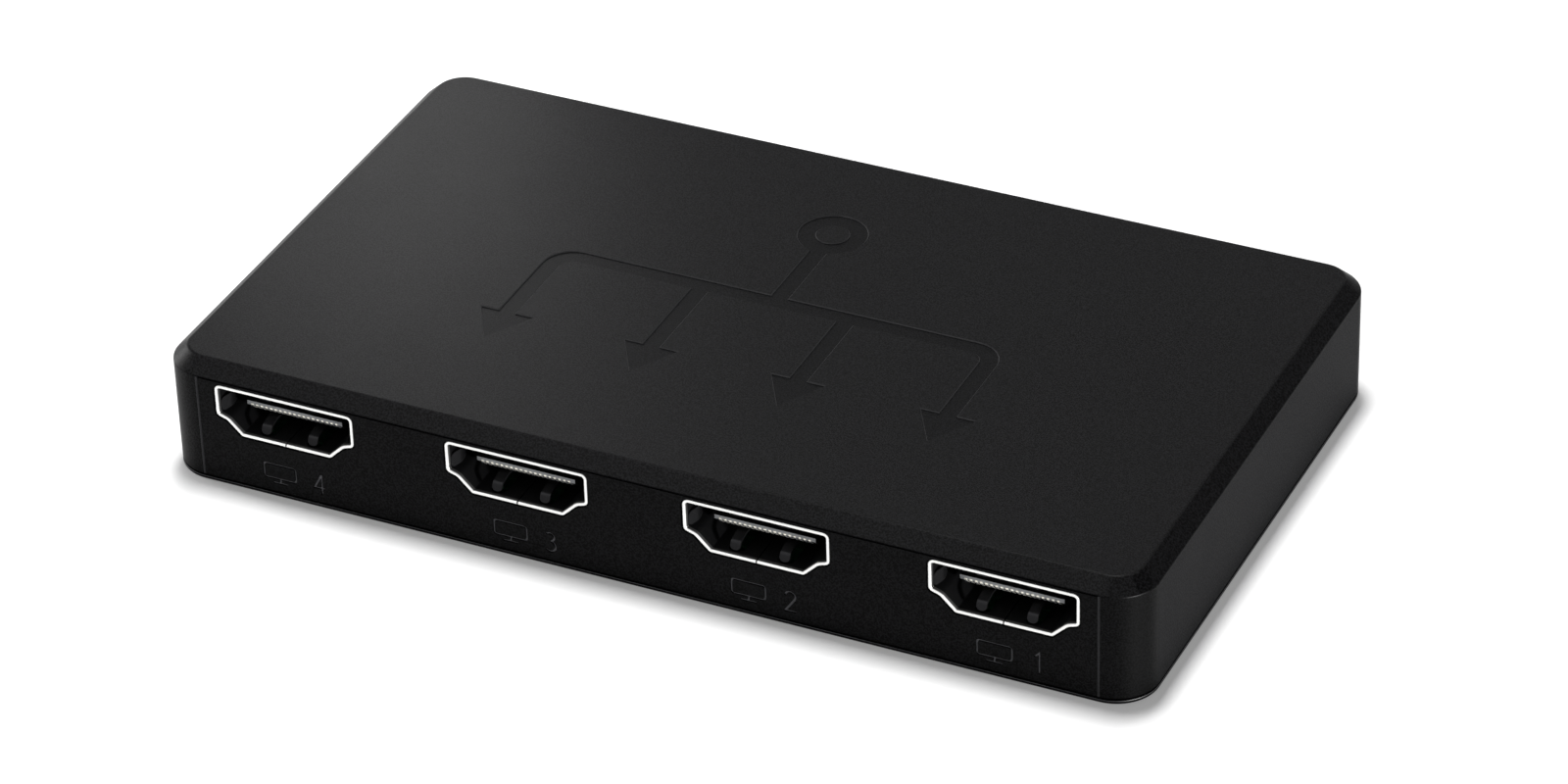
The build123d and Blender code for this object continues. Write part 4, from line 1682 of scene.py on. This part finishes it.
@dataclass
class Studio:
    """Pale floor, soft lamps and the camera of the photograph."""

    camera_place: Point = (206.86, -421.85, 314.76)
    azimuth: float = 25.98
    elevation: float = 33.51
    roll: float = -1.83
    lens: float = 135.42
    sensor: float = 36.0
    sight: Flat = (50.0, 20000.0)
    floor_size: float = 6000.0
    floor_grey: float = 0.8
    floor_glow: float = 0.2
    sky: float = 0.2
    boxes: dict[str, SoftBox] = field(
        default_factory=lambda: {
            "key_box": SoftBox((-48, 100, 800), (-48, 100, 0), 110, 190, 6.2),
            "window_box": SoftBox((-88, 80, 56), (-48, 20, 13), 40, 40, 0.033),
            "left_box": SoftBox((-300, 20, 30), (-48, -20, 6), 60, 60, 0.55),
            "front_card": SoftBox((-260, -340, 560), (0, 0, 0), 300, 300, 1.5, gloss_only=True),
            "corner_card": SoftBox((300, -150, 13), (48, -27, 6), 30, 24, 3.6, gloss_only=True),
        }
    )

    def build(self) -> None:
        """Makes the floor, the sky, the lamps and the camera."""
        self.build_floor()
        self.build_sky()
        for name, box in self.boxes.items():
            self.build_box(name, box)
        self.build_camera()
        bpy.context.scene.view_settings.view_transform = "Standard"

    def build_floor(self) -> None:
        """Lays white paper that keeps the object's shadow."""
        floor = start_piece("studio_floor", bpy.ops.mesh.primitive_plane_add, size=mm(self.floor_size))
        material, tree = new_material("white_paper")
        add = partial(add_node, tree)
        grey = self.floor_grey
        paper = add("ShaderNodeBsdfDiffuse", {"Color": (grey, grey, grey, 1)}).outputs["BSDF"]
        glow = add("ShaderNodeEmission", {"Color": WHITE, "Strength": self.floor_glow}).outputs["Emission"]
        both = add("ShaderNodeAddShader", {0: paper, 1: glow}).outputs["Shader"]
        mix = add("ShaderNodeMixShader", {0: self.add_seen(add), 1: paper, 2: both}).outputs["Shader"]
        add("ShaderNodeOutputMaterial", {"Surface": mix})
        floor.data.materials.append(material)

    def add_seen(self, add: Adder) -> bpy.types.NodeSocket:
        """Tells a ray that is seen, straight or by reflection or through glass, from one that lights.

        Args:
            add: Adds a node to a tree.

        Returns:
            The output that is 1 for a ray that is seen.
        """
        paths = add("ShaderNodeLightPath").outputs
        seen = paths["Is Camera Ray"]
        for kind in ("Is Glossy Ray", "Is Transmission Ray"):
            seen = add("ShaderNodeMath", {0: seen, 1: paths[kind]}, operation="MAXIMUM").outputs[0]
        return seen

    def build_sky(self) -> None:
        """Lights the object from a plain grey sky that is seen as white."""
        world = bpy.data.worlds.new("studio_sky")
        bpy.context.scene.world = world
        world.use_nodes = True
        world.node_tree.nodes.clear()
        add = partial(add_node, world.node_tree)
        levels = {"Value": self.add_seen(add), "To Min": self.sky}
        strength = add("ShaderNodeMapRange", levels).outputs["Result"]
        sky = add("ShaderNodeBackground", {"Color": WHITE, "Strength": strength}).outputs["Background"]
        add("ShaderNodeOutputWorld", {"Surface": sky})

    def build_box(self, name: str, box: SoftBox) -> None:
        """Hangs one soft box.

        Args:
            name: Name of the lamp.
            box: Its place, size and power.
        """
        data = bpy.data.lights.new(name, "AREA")
        data.shape = "RECTANGLE"
        data.size = mm(box.width)
        data.size_y = mm(box.height)
        data.energy = box.power
        lamp = bpy.data.objects.new(name, data)
        lamp.visible_diffuse = not box.gloss_only
        bpy.context.scene.collection.objects.link(lamp)
        spot = Vector(box.place) / 1000
        lamp.location = spot
        lamp.rotation_mode = "QUATERNION"
        lamp.rotation_quaternion = (Vector(box.target) / 1000 - spot).to_track_quat("-Z", "Y")

    def build_camera(self) -> None:
        """Puts the camera where the photograph was taken from."""
        azimuth, elevation = math.radians(self.azimuth), math.radians(self.elevation)
        level = math.cos(elevation)
        look = Vector((-math.sin(azimuth) * level, math.cos(azimuth) * level, -math.sin(elevation)))
        data = bpy.data.cameras.new("photo_camera")
        data.lens = self.lens
        data.sensor_width = self.sensor
        data.sensor_fit = "HORIZONTAL"
        data.clip_start, data.clip_end = (mm(distance) for distance in self.sight)
        camera = bpy.data.objects.new("photo_camera", data)
        bpy.context.scene.collection.objects.link(camera)
        turn = look.to_track_quat("-Z", "Y").to_matrix() @ Matrix.Rotation(math.radians(self.roll), 3, "Z")
        camera.matrix_world = Matrix.Translation(Vector(self.camera_place) / 1000) @ turn.to_4x4()
        bpy.context.scene.camera = camera


# Assembly


def build_sockets() -> None:
    """Models one video socket and places its copies in both walls."""
    socket = VideoSocket()
    sheet, fingers = socket.build_shell()
    block, tongue = socket.mould_block(), socket.mould_tongue()
    contacts = socket.build_contacts()
    nylon = MouldedPlastic("black_nylon", "070707", roughness=0.6, specular=0.1)
    pale = MouldedPlastic("pale_painted_highlight_nylon", "A2A4A6", roughness=0.5, specular=0.4, speckle=0.05)
    dress(block, nylon)
    # The tongue's front-facing faces are painted pale, a painted highlight on its nose; its other faces take
    # the black nylon.
    dress(tongue, pale)
    trim(tongue, nylon, lambda _, normal: normal.y > -0.8)
    dress(contacts, SheetMetal("gold_flashed_contact", "FFFBEE", roughness=0.35))
    # The contacts' faces that lean down and forward take the pale plastic instead of metal: a painted
    # reflection on their slope.
    trim(contacts, pale, lambda _, normal: normal.z < -0.3 and normal.y < -0.3)
    outputs = [(f"output_socket_{number}", x) for number, x in enumerate(OUTPUT_XS, 1)]
    for side, places in ((Side.FRONT, outputs), (Side.BACK, [("input_socket", INPUT_X)])):
        where = side.name.lower()
        # The dark second colour, 1E1E1F, is painted shade inside the socket and on the rim's flanks.
        dress(sheet, SocketSteel(f"{where}_socket_steel", "FAFAF8", "1E1E1F", side))
        # The spring fingers are painted nearly black, 202021, all over: painted shade inside the socket.
        dress(fingers, SocketSteel(f"{where}_finger_painted_shade_steel", "202021", "202021", side))
        for name, x in places:
            for ending, parts, node, slot in (
                ("sheet", [sheet, fingers], "shell", "socket_steel"),
                ("moulding", [block, tongue], "insulator", "insulator_plastic"),
                ("blades", [contacts], "contacts", "contact_metal"),
            ):
                hand_over(place_copy(f"{name}_{ending}", parts, x, side), slot, f"{name}_{node}")
    throw_away(sheet, fingers, block, tongue, contacts)


def build_case() -> None:
    """Models the cover, the base plate, the screws and the light pipe."""
    top_cover = TopCover()
    cover = top_cover.build()
    # Lighter copy of the plastic for the floors of the strokes and the plate's upper edge: a painted
    # highlight.
    painted_highlight_abs = MouldedPlastic("painted_highlight_black_abs", "56565A", roughness=0.5, speckle=0.1, specular=0.3)
    # Lighter copy of the plastic for the broken edge round the sign: a painted highlight.
    sign_edge_highlight = MouldedPlastic("sign_edge_painted_highlight_abs", "2C2C2D", roughness=0.3, speckle=0.1)
    # Duller copy of the plastic for the end walls, so that they read darker: painted shade, with deeper bumps
    # of real grain.
    coarse_and_shaded = MouldedPlastic(
        "coarse_painted_shade_black_abs", "18181A", wall_depth=0.03, speckle=0.6, roughness=0.58
    )
    # Less glossy copy of the plastic for the right end's chamfer, so that it reads darker: painted shade.
    deep = MouldedPlastic("right_chamfer_painted_shade_abs", "0B0B0C", wall_grain=0.2, specular=0.016)
    # Darker copy of the plastic for the floor of the sign: painted shade in the recess.
    fine = MouldedPlastic("sign_floor_painted_shade_abs", "0B0B0C", specular=0.03)
    dress(cover, MouldedPlastic("spark_eroded_black_abs", "0D0D0E"))
    for finish, test in (
        (coarse_and_shaded, top_cover.is_end_wall),
        (deep, top_cover.is_end_chamfer),
        (painted_highlight_abs, top_cover.is_stroke_floor),
        (sign_edge_highlight, top_cover.is_sign_edge),
        (fine, top_cover.is_sign_floor),
    ):
        trim(cover, finish, test)
    hand_over(cover, "cover_plastic", "top_cover")
    for ridge in top_cover.build_ridges():
        # The ridges are painted lighter than the wall: a painted highlight along them.
        dress(ridge, MouldedPlastic("ridge_painted_highlight_abs", "303032", speckle=0.1, specular=0.06))
        hand_over(ridge, "cover_plastic")
    plate = BasePlate().build()
    dress(plate, MouldedPlastic("black_abs_plate", "0D0D0E", roughness=0.36))
    # The plate's upward-leaning upper edge is painted lighter: a painted highlight.
    trim(plate, painted_highlight_abs, lambda _, normal: 0.3 < normal.z < 0.9)
    hand_over(plate, "plate_plastic", "base_plate")
    screws = CaseScrews().build()
    dress(screws, SheetMetal("black_oxide_steel", "2B2B2E", roughness=0.35))
    hand_over(screws, "screw_steel", "case_screws")
    pipe = LightPipe().build()
    dress(pipe, ClearPlastic("clear_polycarbonate", "E9EEF0"))
    hand_over(pipe, "clear_plastic", "light_pipe")


def build_power_socket() -> None:
    """Models the power socket."""
    shell, insulator = PowerSocket().build()
    # The dark second colour, 1B1B1C, is painted shade inside the power socket and on its rim's flanks.
    dress(shell, SocketSteel("power_socket_steel", "FAFAF8", "1B1B1C", Side.BACK, rim_depth=0.25))
    dress(insulator, MouldedPlastic("black_power_nylon", "0B0B0B", roughness=0.55))
    hand_over(shell, "socket_steel", "power_socket_shell")
    hand_over(insulator, "insulator_plastic", "power_socket_insulator")


def dress_board(nodes: dict[str, Object]) -> None:
    """Gives each CAD node inside the case its own finish.

    Args:
        nodes: CAD nodes by name.
    """
    epoxy = MouldedPlastic("moulded_epoxy", "1A1A1B", roughness=0.5, specular=0.4)
    tinned = SheetMetal("tinned_lead", "C4C5C6", roughness=0.3)
    drawn = SheetMetal("drawn_aluminium", "C9CBCD", roughness=0.22, line_width=0.15)
    finishes = {
        "circuit_board": SolderMask("green_solder_mask", "0A2616", "163E26"),
        "splitter_chip_body": epoxy,
        "memory_chip_body": epoxy,
        "regulator_body": epoxy,
        "surge_arrays": epoxy,
        "crystal_base": epoxy,
        "capacitor_bases": epoxy,
        "splitter_chip_leads": tinned,
        "memory_chip_leads": tinned,
        "regulator_leads": tinned,
        "inductor_terminals": tinned,
        "capacitor_cans": drawn,
        "crystal_can": drawn,
        "heat_sink": SheetMetal("extruded_aluminium", "B9BBBE", roughness=0.35, line_width=0.2),
        "thermal_tape": MouldedPlastic("filled_silicone_tape", "8A93A0", roughness=0.8),
        "inductor_core": MouldedPlastic("pressed_ferrite", "2C2C30", speckle=0.5, roughness=0.6),
        "ceramic_capacitors": CappedCeramic("fired_tan_ceramic", "8C6A46", "C8C8C8", 3.0),
        "resistors": CappedCeramic("glazed_black_film", "17171A", "C8C8C8", 5.4),
        "indicator_lamp": ClearPlastic("lamp_epoxy", "F0F4E8", clearness=0.5),
        "power_socket_contacts": SheetMetal("gold_flashed_pin", "E9D9A6", roughness=0.2),
    }
    for name, finish in finishes.items():
        dress(nodes[name], finish)
        log.info("%s dressed", name)


def main() -> None:
    """Builds the studio and every piece of the splitter."""
    logging.basicConfig(level=logging.INFO, format="%(message)s")
    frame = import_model()
    Studio().build()
    build_case()
    build_sockets()
    build_power_socket()
    dress_board(frame["nodes"])


if __name__ == "__main__":
    main()
